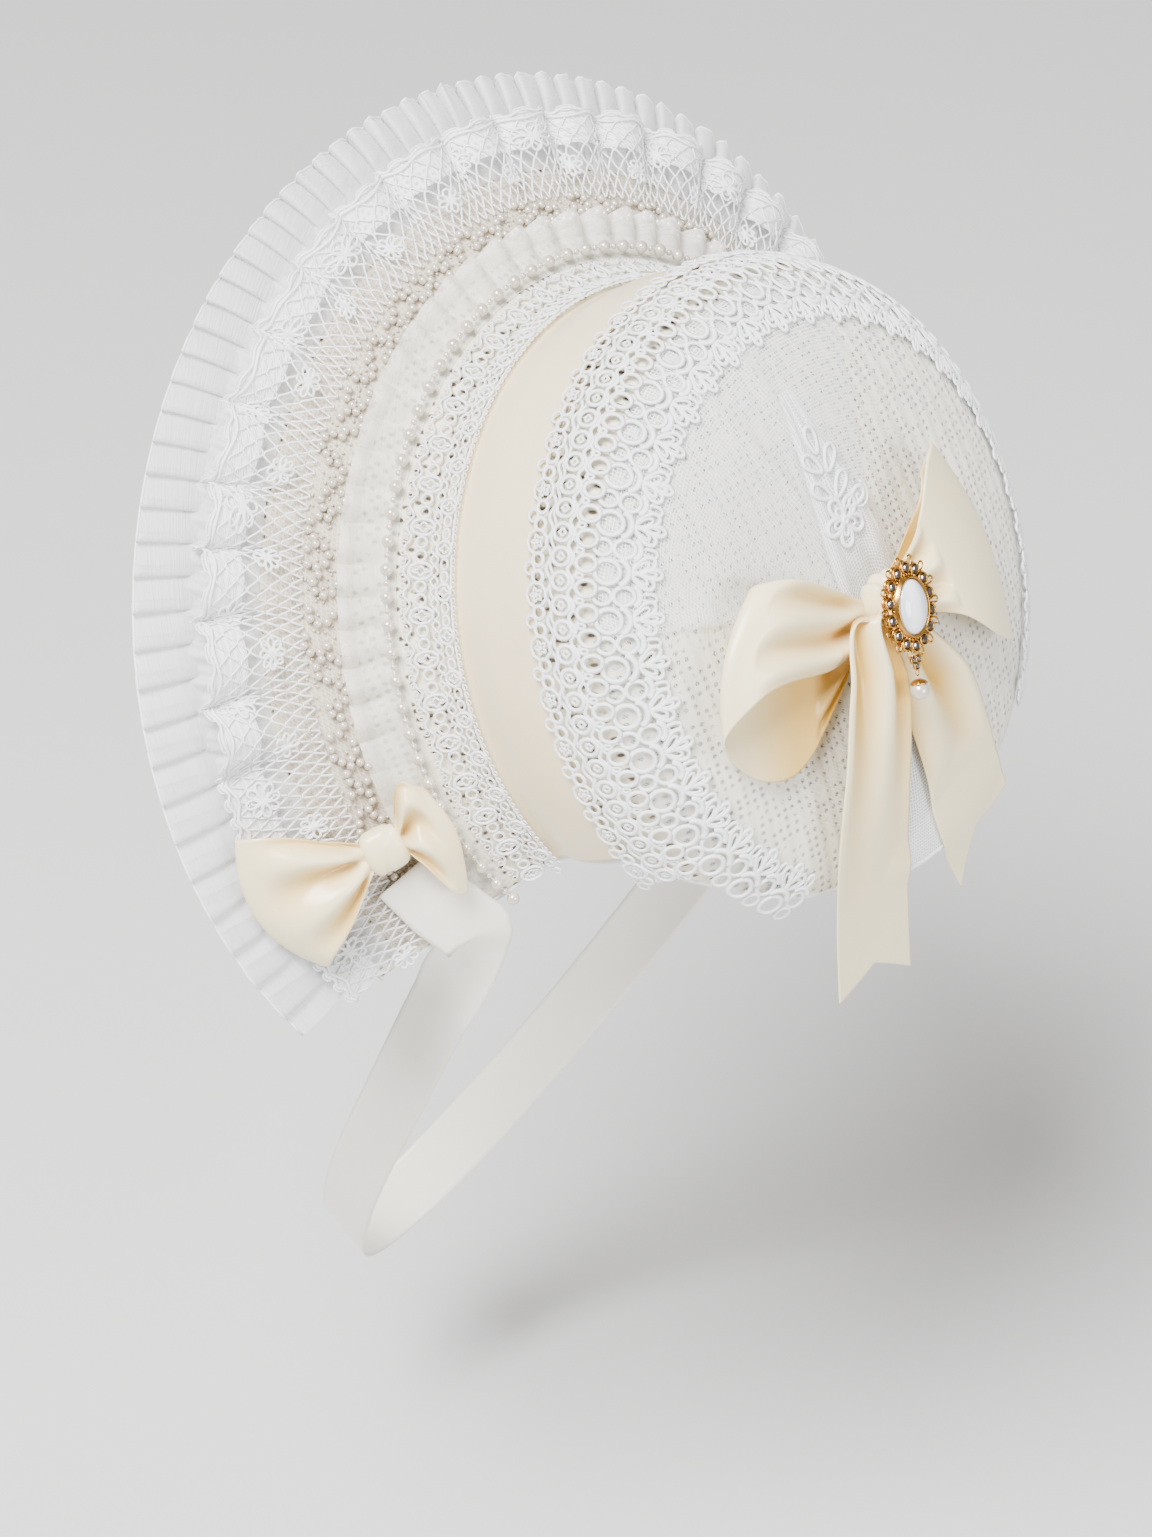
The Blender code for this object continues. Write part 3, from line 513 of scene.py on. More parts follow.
def add_node(tree, kind, inputs=None, **settings):
    """Add a node, set its properties, and give each named input a value or another node's output."""
    node = tree.nodes.new("ShaderNode" + kind)
    for name, value in settings.items():
        setattr(node, name, value)
    for name, value in (inputs or {}).items():
        if isinstance(value, bpy.types.NodeSocket):
            tree.links.new(value, node.inputs[name])
        else:
            node.inputs[name].default_value = value
    return node


def rgba(colour, share=1.0):
    """A colour, or a share of it, with full opacity."""
    return (*(share * c for c in colour), 1.0)


def woven_satin(tree, colour, fold_shade_and_cloud_colour):
    """Polyester satin, woven and calendered: a soft gloss, and painted shade, a deeper warmer colour, inside
    its folds.
    """
    uv = add_node(tree, "TexCoord").outputs["UV"]
    # Painted shade: the fold depth, with a slow random cloud, mixes in the deeper warmer fold colour.
    fold = add_node(tree, "Attribute", attribute_name="fold").outputs["Fac"]
    cloud = add_node(tree, "TexNoise", {"Vector": uv, "Scale": 1.0 / SATIN_CLOUD, "Detail": 2.0})
    tint = add_node(tree, "Math", {0: cloud.outputs["Fac"], 1: 0.16}, operation="MULTIPLY").outputs[0]
    share = add_node(tree, "Math", {0: fold, 1: tint}, operation="ADD", use_clamp=True).outputs[0]
    shade = add_node(tree, "Mix", {0: share, 6: rgba(colour), 7: rgba(fold_shade_and_cloud_colour)}, data_type="RGBA")
    warp = add_node(tree, "TexWave", {"Vector": uv, "Scale": WAVE_PERIOD / WARP_SPACING, "Distortion": 1.0,
                                      "Detail": 1.0}, wave_type="BANDS", bands_direction="X")
    bump = add_node(tree, "Bump", {"Height": warp.outputs["Fac"], "Strength": 0.05, "Distance": 0.0002})
    return add_node(tree, "BsdfPrincipled", {
        "Base Color": shade.outputs[2], "Roughness": 0.28, "Normal": bump.outputs["Normal"],
        "Sheen Weight": 0.08, "Sheen Roughness": 0.35})


def openwork_knit(tree, colour, hole_colour):
    """Cotton openwork knit: matt, in soft ribs with small eyelets in patches, which show dark."""
    place = add_node(tree, "TexCoord").outputs["Object"]
    facing = add_node(tree, "Mapping", {"Vector": place, "Rotation": (-HEAD_TILT + math.pi / 2.0, 0.0, 0.0)})
    spots = add_node(tree, "TexVoronoi", {"Vector": facing.outputs[0], "Scale": 1.0 / EYELET_SPACING,
                                          "Randomness": 0.25}, voronoi_dimensions="2D")
    near = add_node(tree, "MapRange", {"Value": spots.outputs["Distance"], "From Min": 0.16,
                                       "From Max": 0.30, "To Min": 1.0, "To Max": 0.0}).outputs[0]
    patch = add_node(tree, "TexNoise", {"Vector": facing.outputs[0], "Scale": 1.0 / EYELET_PATCH,
                                        "Detail": 1.0})
    some = add_node(tree, "MapRange", {"Value": patch.outputs["Fac"], "From Min": 0.40, "From Max": 0.50})
    hole = add_node(tree, "Math", {0: near, 1: some.outputs[0]}, operation="MULTIPLY").outputs[0]
    rib = add_node(tree, "TexWave", {"Vector": facing.outputs[0], "Scale": WAVE_PERIOD / RIB_SPACING,
                                     "Distortion": 2.0, "Detail": 2.0},
                   wave_type="BANDS", bands_direction="X")
    height = add_node(tree, "Math", {0: rib.outputs["Fac"], 1: hole}, operation="SUBTRACT").outputs[0]
    bump = add_node(tree, "Bump", {"Height": height, "Strength": 0.6, "Distance": 0.0010})
    shade = add_node(tree, "Mix", {0: hole, 6: rgba(colour), 7: rgba(hole_colour)}, data_type="RGBA")
    return add_node(tree, "BsdfPrincipled", {
        "Base Color": shade.outputs[2], "Roughness": 0.9, "Normal": bump.outputs["Normal"],
        "Sheen Weight": 0.3})


def cotton_thread(tree, colour):
    """Mercerised cotton thread, satin-stitched: near white with fine ridges across it."""
    place = add_node(tree, "TexCoord").outputs["Object"]
    twist = add_node(tree, "TexNoise", {"Vector": place, "Scale": 1.0 / STITCH_SPACING, "Detail": 2.0})
    twist = twist.outputs["Fac"]
    bump = add_node(tree, "Bump", {"Height": twist, "Strength": 0.5, "Distance": 0.0003})
    shade = add_node(tree, "Mix", {0: twist, 6: rgba(colour, 0.86), 7: rgba(colour)}, data_type="RGBA")
    return add_node(tree, "BsdfPrincipled", {
        "Base Color": shade.outputs[2], "Roughness": 0.55, "Normal": bump.outputs["Normal"],
        "Sheen Weight": 0.4})


def woven_organza(tree, colour, cover):
    """Silk-like organza: crisp and sheer, with a fine plain weave that catches the light."""
    uv = add_node(tree, "TexCoord").outputs["UV"]
    cells = add_node(tree, "TexNoise", {"Vector": uv, "Scale": 1.0 / ORGANZA_WEAVE, "Detail": 2.0})
    alpha = add_node(tree, "MapRange", {"Value": cells.outputs["Fac"], "From Min": 0.3, "From Max": 0.7,
                                        "To Min": cover - 0.12, "To Max": cover + 0.12}).outputs[0]
    crinkle = add_node(tree, "TexNoise", {"Vector": uv, "Scale": 1.0 / ORGANZA_CRINKLE, "Detail": 3.0})
    bump = add_node(tree, "Bump", {"Height": crinkle.outputs["Fac"], "Strength": 0.5, "Distance": 0.0012})
    return add_node(tree, "BsdfPrincipled", {
        "Base Color": rgba(colour), "Roughness": 0.45, "Alpha": alpha, "Sheen Weight": 0.4,
        "Normal": bump.outputs["Normal"]})


def knotted_net(tree, colour, mesh_width, thread, haze):
    """Nylon net with round meshes: each mesh nearly open, its threads nearly solid.

    The thread is half its width as a share of the mesh's, and the haze is the cover inside a mesh.
    """
    uv = add_node(tree, "TexCoord").outputs["UV"]
    cells = add_node(tree, "TexVoronoi", {"Vector": uv, "Scale": 1.0 / mesh_width, "Randomness": 0.3},
                     feature="DISTANCE_TO_EDGE", voronoi_dimensions="2D")
    alpha = add_node(tree, "MapRange", {"Value": cells.outputs["Distance"], "From Min": thread,
                                        "From Max": thread * 2.0, "To Min": 0.9, "To Max": haze}).outputs[0]
    return add_node(tree, "BsdfPrincipled", {
        "Base Color": rgba(colour), "Roughness": 0.7, "Alpha": alpha, "Sheen Weight": 0.2})


def pearl_coating(tree, colour):
    """Moulded pearl with a nacre lacquer: a bright small highlight over a soft inner glow."""
    place = add_node(tree, "TexCoord").outputs["Object"]
    cloud = add_node(tree, "TexNoise", {"Vector": place, "Scale": 1.0 / NACRE_CLOUD, "Detail": 1.0})
    warmer = rgba([c * share for c, share in zip(colour, (0.90, 0.88, 0.86))])
    shade = add_node(tree, "Mix", {0: cloud.outputs["Fac"], 6: warmer, 7: rgba(colour)}, data_type="RGBA")
    return add_node(tree, "BsdfPrincipled", {
        "Base Color": shade.outputs[2], "Metallic": 0.30, "Roughness": 0.22, "Coat Weight": 1.0,
        "Coat Roughness": 0.05, "Specular IOR Level": 0.7})


def gold_electroplate(tree, colour):
    """Gold-plated casting: polished, with the soft waviness of a cast surface."""
    place = add_node(tree, "TexCoord").outputs["Object"]
    cast = add_node(tree, "TexNoise", {"Vector": place, "Scale": 1.0 / CAST_WAVE, "Detail": 2.0})
    cast = cast.outputs["Fac"]
    bump = add_node(tree, "Bump", {"Height": cast, "Strength": 0.15, "Distance": 0.0002})
    shade = add_node(tree, "Mix", {0: cast, 6: rgba(colour, 0.85), 7: rgba(colour)}, data_type="RGBA")
    return add_node(tree, "BsdfPrincipled", {
        "Base Color": shade.outputs[2], "Metallic": 1.0, "Roughness": 0.26,
        "Normal": bump.outputs["Normal"]})


def cats_eye(tree, colour, side_colour):
    """White cat's-eye glass under a polish: a painted highlight, a bright band along the stone, between two
    greyer sides.
    """
    uv = add_node(tree, "TexCoord").outputs["UV"]
    side = add_node(tree, "SeparateXYZ", {0: uv}).outputs["X"]
    away = add_node(tree, "Math", {0: side, 1: 0.0012}, operation="SUBTRACT").outputs[0]
    far = add_node(tree, "Math", {0: away}, operation="ABSOLUTE").outputs[0]
    band = add_node(tree, "MapRange", {"Value": far, "From Min": 0.0008, "From Max": 0.0042},
                    interpolation_type="SMOOTHSTEP").outputs[0]
    # Painted highlight: the bright colour along the band's middle, fading to the greyer sides.
    shade = add_node(tree, "Mix", {0: band, 6: rgba(colour), 7: rgba(side_colour)}, data_type="RGBA")
    return add_node(tree, "BsdfPrincipled", {
        "Base Color": shade.outputs[2], "Roughness": 0.12, "Coat Weight": 1.0, "Coat Roughness": 0.03})


def cut_glass(tree, colour):
    """Foiled cut glass: dark, mirror-backed facets, with painted glints and dark painted reflections set in
    facet-sized cells.
    """
    place = add_node(tree, "TexCoord").outputs["Object"]
    painted_glints = add_node(tree, "TexVoronoi", {"Vector": place, "Scale": 1.0 / FACET_SIZE})
    # Painted glints and reflections: each facet-sized cell darkens to about a third of the colour at its
    # middle.
    shade = add_node(tree, "Mix", {0: painted_glints.outputs["Distance"], 6: rgba(colour, 0.35), 7: rgba(colour)},
                     data_type="RGBA")
    return add_node(tree, "BsdfPrincipled", {
        "Base Color": shade.outputs[2], "Metallic": 0.6, "Roughness": 0.08, "Coat Weight": 1.0,
        "Coat Roughness": 0.02})


def matt_paper(tree, colour):
    """Seamless backdrop paper: matt, with a faint tooth."""
    place = add_node(tree, "TexCoord").outputs["Object"]
    tooth = add_node(tree, "TexNoise", {"Vector": place, "Scale": 1.0 / PAPER_TOOTH, "Detail": 3.0})
    shade = add_node(tree, "Mix", {0: tooth.outputs["Fac"], 6: rgba(colour, 0.96), 7: rgba(colour)},
                     data_type="RGBA")
    return add_node(tree, "BsdfPrincipled", {"Base Color": shade.outputs[2], "Roughness": 0.95})


# Each material's builder, the names of its colours, and its own numbers. A net's are the width of its
# meshes, its thread and its haze, and an organza's is its cover.
FINISHES = {
    "polyester_satin_cream": (woven_satin, ["cream_satin", "satin_fold"]),
    "polyester_satin_band": (woven_satin, ["band_satin", "cream_satin"]),
    "polyester_satin_white": (woven_satin, ["white_satin", "sheer"]),
    "openwork_knit": (openwork_knit, ["crown_knit", "eyelet"]),
    "cotton_thread": (cotton_thread, ["lace"]),
    "woven_organza": (woven_organza, ["ruffle"], 0.62),
    "fine_organza": (woven_organza, ["organza"], 0.56),
    "dense_lace": (knotted_net, ["lace"], LACE_MESH, 0.16, 0.45),
    "bridal_tulle": (knotted_net, ["sheer"], TULLE_MESH, 0.06, 0.07),
    "stiff_tulle": (knotted_net, ["sheer"], TULLE_MESH, 0.06, 0.12),
    "doubled_tulle": (knotted_net, ["sheer"], TULLE_MESH, 0.10, 0.42),
    "bead_net": (knotted_net, ["beige_net"], BEAD_NET_MESH, 0.10, 0.55),
    "pearl_coating": (pearl_coating, ["pearl"]),
    "gold_electroplate": (gold_electroplate, ["gold"]),
    "cats_eye": (cats_eye, ["cabochon", "cabochon_side"]),
    "cut_glass": (cut_glass, ["rhinestone"]),
    "matt_paper": (matt_paper, ["floor"]),
}


def finish(name):
    """The material of that name. On its first use its builder adds the nodes and gives back the shader."""
    made = bpy.data.materials.get(name)
    if made is None:
        made = bpy.data.materials.new(name)
        made.use_nodes = True
        tree = made.node_tree
        tree.nodes.clear()
        builder, shades, *numbers = FINISHES[name]
        shader = builder(tree, *(getattr(colours(), shade) for shade in shades), *numbers)
        add_node(tree, "OutputMaterial", {"Surface": shader.outputs[0]})
    return made


def set_fold_shade(piece, values):
    """Store how deep in a fold each point lies, for the satin's painted fold shade."""
    layer = piece.data.attributes.new("fold", "FLOAT", "POINT")
    layer.data.foreach_set("value", np.clip(values, 0.0, 1.0).astype(np.float32).ravel())


# Crown, brim and band.

BINDING_LIFT = -0.0009
BINDING_HALF_WIDTH, BINDING_HALF_HEIGHT = 0.0013, 0.0012
BAND_RIPPLE = 0.00018


class HALFBONNET_OT_crown(bpy.types.Operator):
    """Make the crown and the brim's ground, with the binding along the neck"""
    bl_idname = "half_bonnet.crown"
    bl_label = "Crown and brim"

    def execute(self, context):
        crown_runs = np.concatenate([[0.0], np.linspace(0.004, CROWN_END, 80)])
        brim_runs = np.linspace(BRIM_START, BRIM_END, 30)
        for node, runs, merged in (("crown", crown_runs, True), ("brim", brim_runs, False)):
            grid = shell_grid(runs, 160, 0.0)
            piece = surface_piece(node + "_fabric", grid, finish("openwork_knit"), "crown_knit", node,
                                  thickness=sizes().knit_thickness, offset=-1.0, merged=merged)
        self.bind_neck()
        return {"FINISHED"}

    def bind_neck(self):
        """A knitted cord along the crown's and brim's open edges, at half the knit's depth."""
        run = np.linspace(NECK_START, BRIM_END, 160)
        lines = np.stack([shell(run, sign * end_angle(run), BINDING_LIFT) for sign in (-1, 1)])
        out = np.stack([shell(run, sign * end_angle(run), 0.0) for sign in (-1, 1)]) - lines
        out /= np.linalg.norm(out, axis=-1, keepdims=True)
        cord_piece("neck_binding", lines, out, BINDING_HALF_WIDTH, BINDING_HALF_HEIGHT,
                   finish("cotton_thread"), "crown_knit", sides=8)


class HALFBONNET_OT_satin_band(bpy.types.Operator):
    """Lay the plain satin band round the crown's front"""
    bl_idname = "half_bonnet.satin_band"
    bl_label = "Satin band"

    def execute(self, context):
        def lift(run, angle):
            """Two sines round the head, the slower of which drifts along the run."""
            ripple = np.sin(np.radians(angle) * 9.0 + run * 130.0) + 0.6 * np.sin(np.radians(angle) * 23.0)
            return FIRST_LAYER + BAND_RIPPLE * (1.6 + ripple)
        grid = shell_grid(np.linspace(BAND_START, BAND_END, 30), 300, lift, EDGE_MARGIN)
        band = surface_piece("satin_band_cloth", grid, finish("polyester_satin_band"), "cream_satin",
                             "satin_band", thickness=sizes().satin_thickness)
        return {"FINISHED"}


# Laces. A stroke's x is the way round the head and its y the run. Its last values are the thread's half
# width, half height and lift, and whether it is closed.

CROWN_LACE_WIDTH, FRONT_LACE_WIDTH = 0.0255, 0.0205


def long_line(half_length, run, swing, pitch, phase=0.0, step=0.8):
    """One line round the head that waves across the run."""
    x = np.arange(-half_length, half_length, step)
    return np.stack([x, run + swing * np.cos(2.0 * math.pi * x / pitch + phase)], -1)[None]


def crown_lace_strokes():
    """Flower rings and pairs of small rings on the band, then two rows of rings on a dense braid."""
    half = arc_length(CROWN_LACE_RUN)
    x, pitch = repeats(half, 16.0)
    pairs = np.concatenate([x + pitch / 2.0 - 2.7, x + pitch / 2.0 + 2.7])[:-1]
    row, _ = repeats(half, 7.6)
    inner, _ = repeats(half, 8.0)
    return [
        (spread(ring(3.7, 3.7, 18, 9, 0.04), x, 131.6), 0.55, 0.50, 3.0, True),
        (spread(ring(1.7, 1.7, 20, 5, 0.42), x, 131.6), 0.42, 0.40, 3.0, True),
        (spread(ring(0.45, 0.45, 6), x, 131.6), 0.42, 0.45, 3.2, True),
        (spread(ring(2.0, 2.0, 12), pairs, 131.0), 0.62, 0.50, 2.9, True),
        (spread(ring(1.9, 1.9, 12), x + pitch / 2.0, 134.2), 0.50, 0.45, 2.9, True),
        (long_line(half, 127.4, 0.9, pitch / 2.0), 0.55, 0.45, 2.4, False),
        (long_line(half, 126.2, 0.7, pitch / 2.0, 1.0), 0.45, 0.40, 2.3, False),
        (spread(ring(2.8, 2.9, 14), row, 123.0), 0.62, 0.50, 2.6, True),
        (spread(ring(1.0, 1.0, 10, 4, 0.3), row, 123.0), 0.45, 0.35, 2.6, True),
        (long_line(half, 119.8, 1.0, 7.6), 0.60, 0.45, 2.4, False),
        (long_line(half, 118.6, 1.0, 7.6, math.pi), 0.50, 0.45, 2.3, False),
        (spread(ring(2.6, 3.1, 14), inner, 114.9), 0.62, 0.50, 2.6, True),
        (spread(ring(0.9, 1.2, 8), inner + 4.0, 117.0), 0.50, 0.40, 2.5, True),
    ]


def front_lace_strokes():
    """Crossed ovals by turns along both edges, pairs of small rings between them, and a picot fringe."""
    half = arc_length(FRONT_LACE_RUN)
    x, pitch = repeats(half, 14.0)
    between = x + pitch / 2.0
    picot, _ = repeats(half, 2.6)
    ovals = [(x, 181.4), (between, 190.6)]
    strokes = []
    for places, run in ovals:
        strokes += [
            (spread(ring(2.6, 3.8, 18, 9, 0.03), places, run), 0.60, 0.50, 1.9, True),
            (spread(ring(1.1, 2.1, 16, 4, 0.38), places, run), 0.45, 0.38, 1.9, True),
        ]
    for places, run in [(between, 181.2), (x, 190.8)]:
        for shift in (-2.1, 2.1):
            strokes.append((spread(ring(1.75, 1.75, 12), places + shift, run), 0.52, 0.45, 1.8, True))
    for phase in (0.0, math.pi):
        strokes.append((long_line(half, 186.0, 1.5, pitch / 2.0, phase), 0.50, 0.42, 1.6, False))
    strokes += [
        (long_line(half, 195.2, 1.0, pitch / 2.0), 0.45, 0.40, 1.4, False),
        (long_line(half, 178.0, 0.3, 2.6), 0.40, 0.35, 1.5, False),
        (spread(ring(0.9, 1.0, 8), picot, 176.9), 0.28, 0.28, 1.5, True),
        (spread(ring(0.8, 0.9, 8), picot, 196.4), 0.26, 0.26, 1.3, True),
    ]
    return strokes


def overlay_edge_strokes():
    """Embroidery along the tulle's edge: clouds of satin-stitched lobes, stems and leaf tips."""
    half = arc_length(OVERLAY_EDGE_RUN)
    x, pitch = repeats(half, 15.0)
    between = x + pitch / 2.0
    strokes = [
        (spread(ring(3.6, 3.9, 16), x, 108.6), 0.70, 0.50, 1.8, True),
        (spread(ring(2.4, 2.8, 14), between, 110.2), 0.60, 0.45, 1.7, True),
        (spread(ring(2.9, 3.2, 14), between, 103.6), 0.62, 0.45, 1.7, True),
        (spread(arc(4.3, 110.0, 250.0), x, 106.4), 0.90, 0.50, 1.9, False),
        (spread(arc(3.7, 120.0, 240.0), between, 102.4), 0.85, 0.50, 1.8, False),
        (spread(arc(8.0, 120.0, 205.0, 14), x + 4.0, 104.6), 0.32, 0.32, 1.6, False),
    ]
    for turn, length, wide, foot in ((215.0, 8.6, 4.6, 101.2), (146.0, 8.0, 4.4, 101.2),
                                     (180.0, 7.0, 3.6, 98.6)):
        strokes.append((spread(turned(leaf(length, wide), turn), x, foot), 0.62, 0.45, 1.7, True))
        inner = turned(leaf(length * 0.72, wide * 0.5), turn)
        strokes.append((spread(inner, x, foot), 0.42, 0.35, 1.7, True))
    strokes.append((spread(turned(leaf(5.6, 3.0), 170.0), between, 99.0), 0.50, 0.40, 1.7, True))
    return strokes


def heavier(strokes, share):
    """The same strokes in a thicker satin stitch."""
    return [(lines, wide * share, high, lift, closed) for lines, wide, high, lift, closed in strokes]


class HALFBONNET_OT_laces(bpy.types.Operator):
    """Lay the two guipure braids along the satin band's edges"""
    bl_idname = "half_bonnet.laces"
    bl_label = "Lace braids"

    def execute(self, context):
        thread = finish("cotton_thread")
        wide = stitched("crown_lace_threads", heavier(crown_lace_strokes(), 1.25), on_shell(CROWN_LACE_RUN),
                        thread, "white_lace", "crown_lace")
        declare_lace(wide, CROWN_LACE_WIDTH, 2.0 * arc_length(CROWN_LACE_RUN) * 0.001, "stretched",
                     "satin_band_cloth")
        flat = on_shell(FRONT_LACE_RUN)

        def stepped(x, y, lift):
            """The braid steps down from the band's edge to the brim."""
            return flat(x, y, lift + np.interp(y, [182.0, 187.0], [1.5, 0.0]))
        narrow = stitched("front_lace_threads", front_lace_strokes(), stepped, thread, "white_lace",
                          "front_lace")
        declare_lace(narrow, FRONT_LACE_WIDTH, 2.0 * arc_length(FRONT_LACE_RUN) * 0.001, "stretched",
                     "satin_band_cloth")
        return {"FINISHED"}


# Tulle.

WIDEST_FOLD = 1.3        # radians that a fold of tulle may spread to each side near the bow
FOLD_HEIGHT, FOLD_GAP = 0.0012, 0.0003
DOUBLED_RUNS, DOUBLED_ANGLES, DOUBLED_GAP = (0.006, 0.1115), (-24.0, 70.0), 0.0006
CREASES = (6.0, 20.0, 42.0, 57.0, 69.0)
CREASE_WIDTH, CREASE_HEIGHT = 2.2, 0.0011
# Where each fan of folds starts and ends along the run, its half widths there, and its middle's angle.
TULLE_FOLDS = {
    "tulle_fan": (0.005, 0.076, 0.019, 0.003, 2.0),
    "tulle_end": (0.005, 0.094, 0.005, 0.032, 172.0),
}


class HALFBONNET_OT_tulle(bpy.types.Operator):
    """Lay the tulle over the crown's back, with its doubled side, fan and loose end"""
    bl_idname = "half_bonnet.tulle"
    bl_label = "Tulle"

    def execute(self, context):
        grid = shell_grid(np.linspace(0.0, OVERLAY_END, 60), 160, FIRST_LAYER)
        overlay = surface_piece("overlay_tulle", grid, finish("bridal_tulle"), "sheer_white",
                                "tulle_overlay", merged=True)
        edge = stitched("overlay_edge_embroidery", heavier(overlay_edge_strokes(), 1.3),
                        on_shell(OVERLAY_EDGE_RUN), finish("cotton_thread"), "white_lace")
        self.doubled_side()
        self.folds("tulle_fan", *TULLE_FOLDS["tulle_fan"], self.sprig())
        self.folds("tulle_end", *TULLE_FOLDS["tulle_end"], None)
        return {"FINISHED"}

    def doubled_side(self):
        """A second layer that fans out of the bow, with a bell-shaped crease at each of its folds."""
        run = np.linspace(*DOUBLED_RUNS, 56)[:, None]
        angle = np.linspace(*DOUBLED_ANGLES, 200)[None, :]
        crease = sum(np.exp(-((angle - middle) / CREASE_WIDTH) ** 2) for middle in CREASES)
        lift = FIRST_LAYER + DOUBLED_GAP + CREASE_HEIGHT * crease * step_up(run, 0.02, 0.05)
        grid = shell(run, angle, lift)
        layer = surface_piece("overlay_second_layer", grid, finish("stiff_tulle"), "sheer_white")

    def folds(self, name, start, end, half_start, half_end, middle_angle, trim):
        """A narrow fan of tulle between two runs of the crown, with a corded edge if it has no trim.

        Three cosine folds lie across it, which rise and fall along it as half a sine.
        """
        run = np.linspace(start, end, 40)[:, None]
        share = np.linspace(-1.0, 1.0, 60)[None, :]
        half = half_start + (half_end - half_start) * (run - start) / (end - start)
        angle = middle_angle + np.degrees(share * np.minimum(half / run, WIDEST_FOLD))
        fold = 0.5 + 0.5 * np.cos(share * 3.0 * math.pi)
        rising = np.sin(math.pi * (run - start) / (end - start))
        grid = shell(run, angle, SECOND_LAYER + FOLD_GAP + fold * FOLD_HEIGHT * rising)
        piece = surface_piece(name + "_cloth", grid, finish("doubled_tulle"), "sheer_white", name)
        if trim is None:
            edge = grid[-1:]
            trim = cord_piece(name + "_edging", edge, np.broadcast_to(AXIS, edge.shape), 0.0011, 0.0005,
                              finish("cotton_thread"), "white_lace")

    def sprig(self):
        """A leafy sprig over a five-petalled flower, embroidered on the fan."""
        petals = [turned(leaf(8.5, 5.6), 72.0 * i + 20.0) for i in range(5)]
        inner = [turned(leaf(5.0, 2.6), 72.0 * i + 20.0) for i in range(5)]
        leaves = [(turned(leaf(9.0, 5.0), turn), x, y) for turn, x, y in (
            (-48.0, -1.0, 8.0), (44.0, 1.5, 9.0), (-40.0, -1.5, 17.0), (36.0, 1.0, 18.0), (-4.0, 0.0, 24.0),
            (-75.0, -4.0, 3.0))]
        flower = (2.0, 30.0)
        strokes = [(spread(shape, *flower), 0.75, 0.45, 3.2, True) for shape in petals]
        strokes += [(spread(shape, *flower), 0.45, 0.40, 3.2, True) for shape in inner]
        strokes += [(spread(ring(1.0, 1.0, 10), *flower), 0.6, 0.6, 3.3, True)]
        strokes += [(spread(shape, flower[0] + x, flower[1] + y), 0.65, 0.42, 3.2, True)
                    for shape, x, y in leaves]
        spiral = np.linspace(0.0, 12.0, 60)
        curl = np.stack([(0.6 + 0.34 * spiral) * np.sin(spiral), (0.6 + 0.34 * spiral) * np.cos(spiral)], -1)
        strokes += [(spread(curl, flower[0] - 10.0, flower[1] + 4.0), 0.40, 0.35, 3.1, False)]
        return stitched("fan_sprig", heavier(strokes, 1.35), self.over_fan, finish("cotton_thread"),
                        "white_lace")

    @staticmethod
    def over_fan(x, y, lift):
        """Flat millimetres over the fan: x to the wearer's left and y up from the back pole."""
        side, rise = x * 0.001, y * 0.001
        return bow_place(side, rise, crown_out(side, rise) + lift * 0.001)


# Pearls and beads.

SPACER_RADIUS = 0.0011
STRING_RADIUS = 0.0003
NET_LIFT = 0.0010
# In millimetres: a bead's radius, the radius of its ring, the rings' spacing, their middles' run and how
# far that waves; then the degrees between the beads of a ring. The seeds' radius is in metres.
BEAD_RADIUS, BEAD_RING, BEAD_SPACING, BEAD_RUN, BEAD_SWING = 1.45, 3.7, 9.0, 222.4, 1.8
BEAD_TURN = 46.0
SEED_COUNT, SEED_RADIUS, SEED_RUNS = 900, 0.0006, (216.0, 230.5)
# Starting values of the random draws.
SEEDS = {"beads": 7, "lace_frill": 3, "organza": 5, "pleats": 11, "fine_gathers": 13, "broad_gathers": 17}


def pearl_piece(name, centres, radius, material, slot, *nodes, rows=8, columns=12):
    """Spheres of one radius at the given centres, as one piece."""
    points, faces = scatter(ball(rows, columns), centres, radius)
    mesh = new_mesh(name, points, faces, points[:, [0, 2]])
    merge_doubles(mesh, 0.000001)
    return add_piece(name, mesh, material, slot, *nodes)


class HALFBONNET_OT_pearls(bpy.types.Operator):
    """Thread the pearls round the brim's root, with a small bead between them"""
    bl_idname = "half_bonnet.pearls"
    bl_label = "Pearl string"

    def execute(self, context):
        radius = sizes().pearl_radius
        limit = float(end_angle(PEARL_RUN))
        length = 2.0 * math.radians(limit) * float(ring_radius(PEARL_RUN))
        count = int(length / sizes().pearl_spacing)
        angle = np.linspace(-limit, limit, count)
        centres = shell(PEARL_RUN, angle, SECOND_LAYER + radius)
        pearl_piece("pearl_string_pearls", centres, radius, finish("pearl_coating"), "pearl", "pearl_string",
                    rows=10, columns=14)
        spacers = shell(PEARL_RUN, (angle[1:] + angle[:-1]) / 2.0, SECOND_LAYER + radius)
        pearl_piece("pearl_string_beads", spacers, SPACER_RADIUS, finish("pearl_coating"), "pearl", rows=6,
                    columns=8)
        line = shell(PEARL_RUN, np.linspace(-limit, limit, 240), SECOND_LAYER + radius)[None]
        cord_piece("pearl_string_thread", line, np.broadcast_to(AXIS, line.shape), STRING_RADIUS,
                   STRING_RADIUS, finish("cotton_thread"), "pearl")
        return {"FINISHED"}


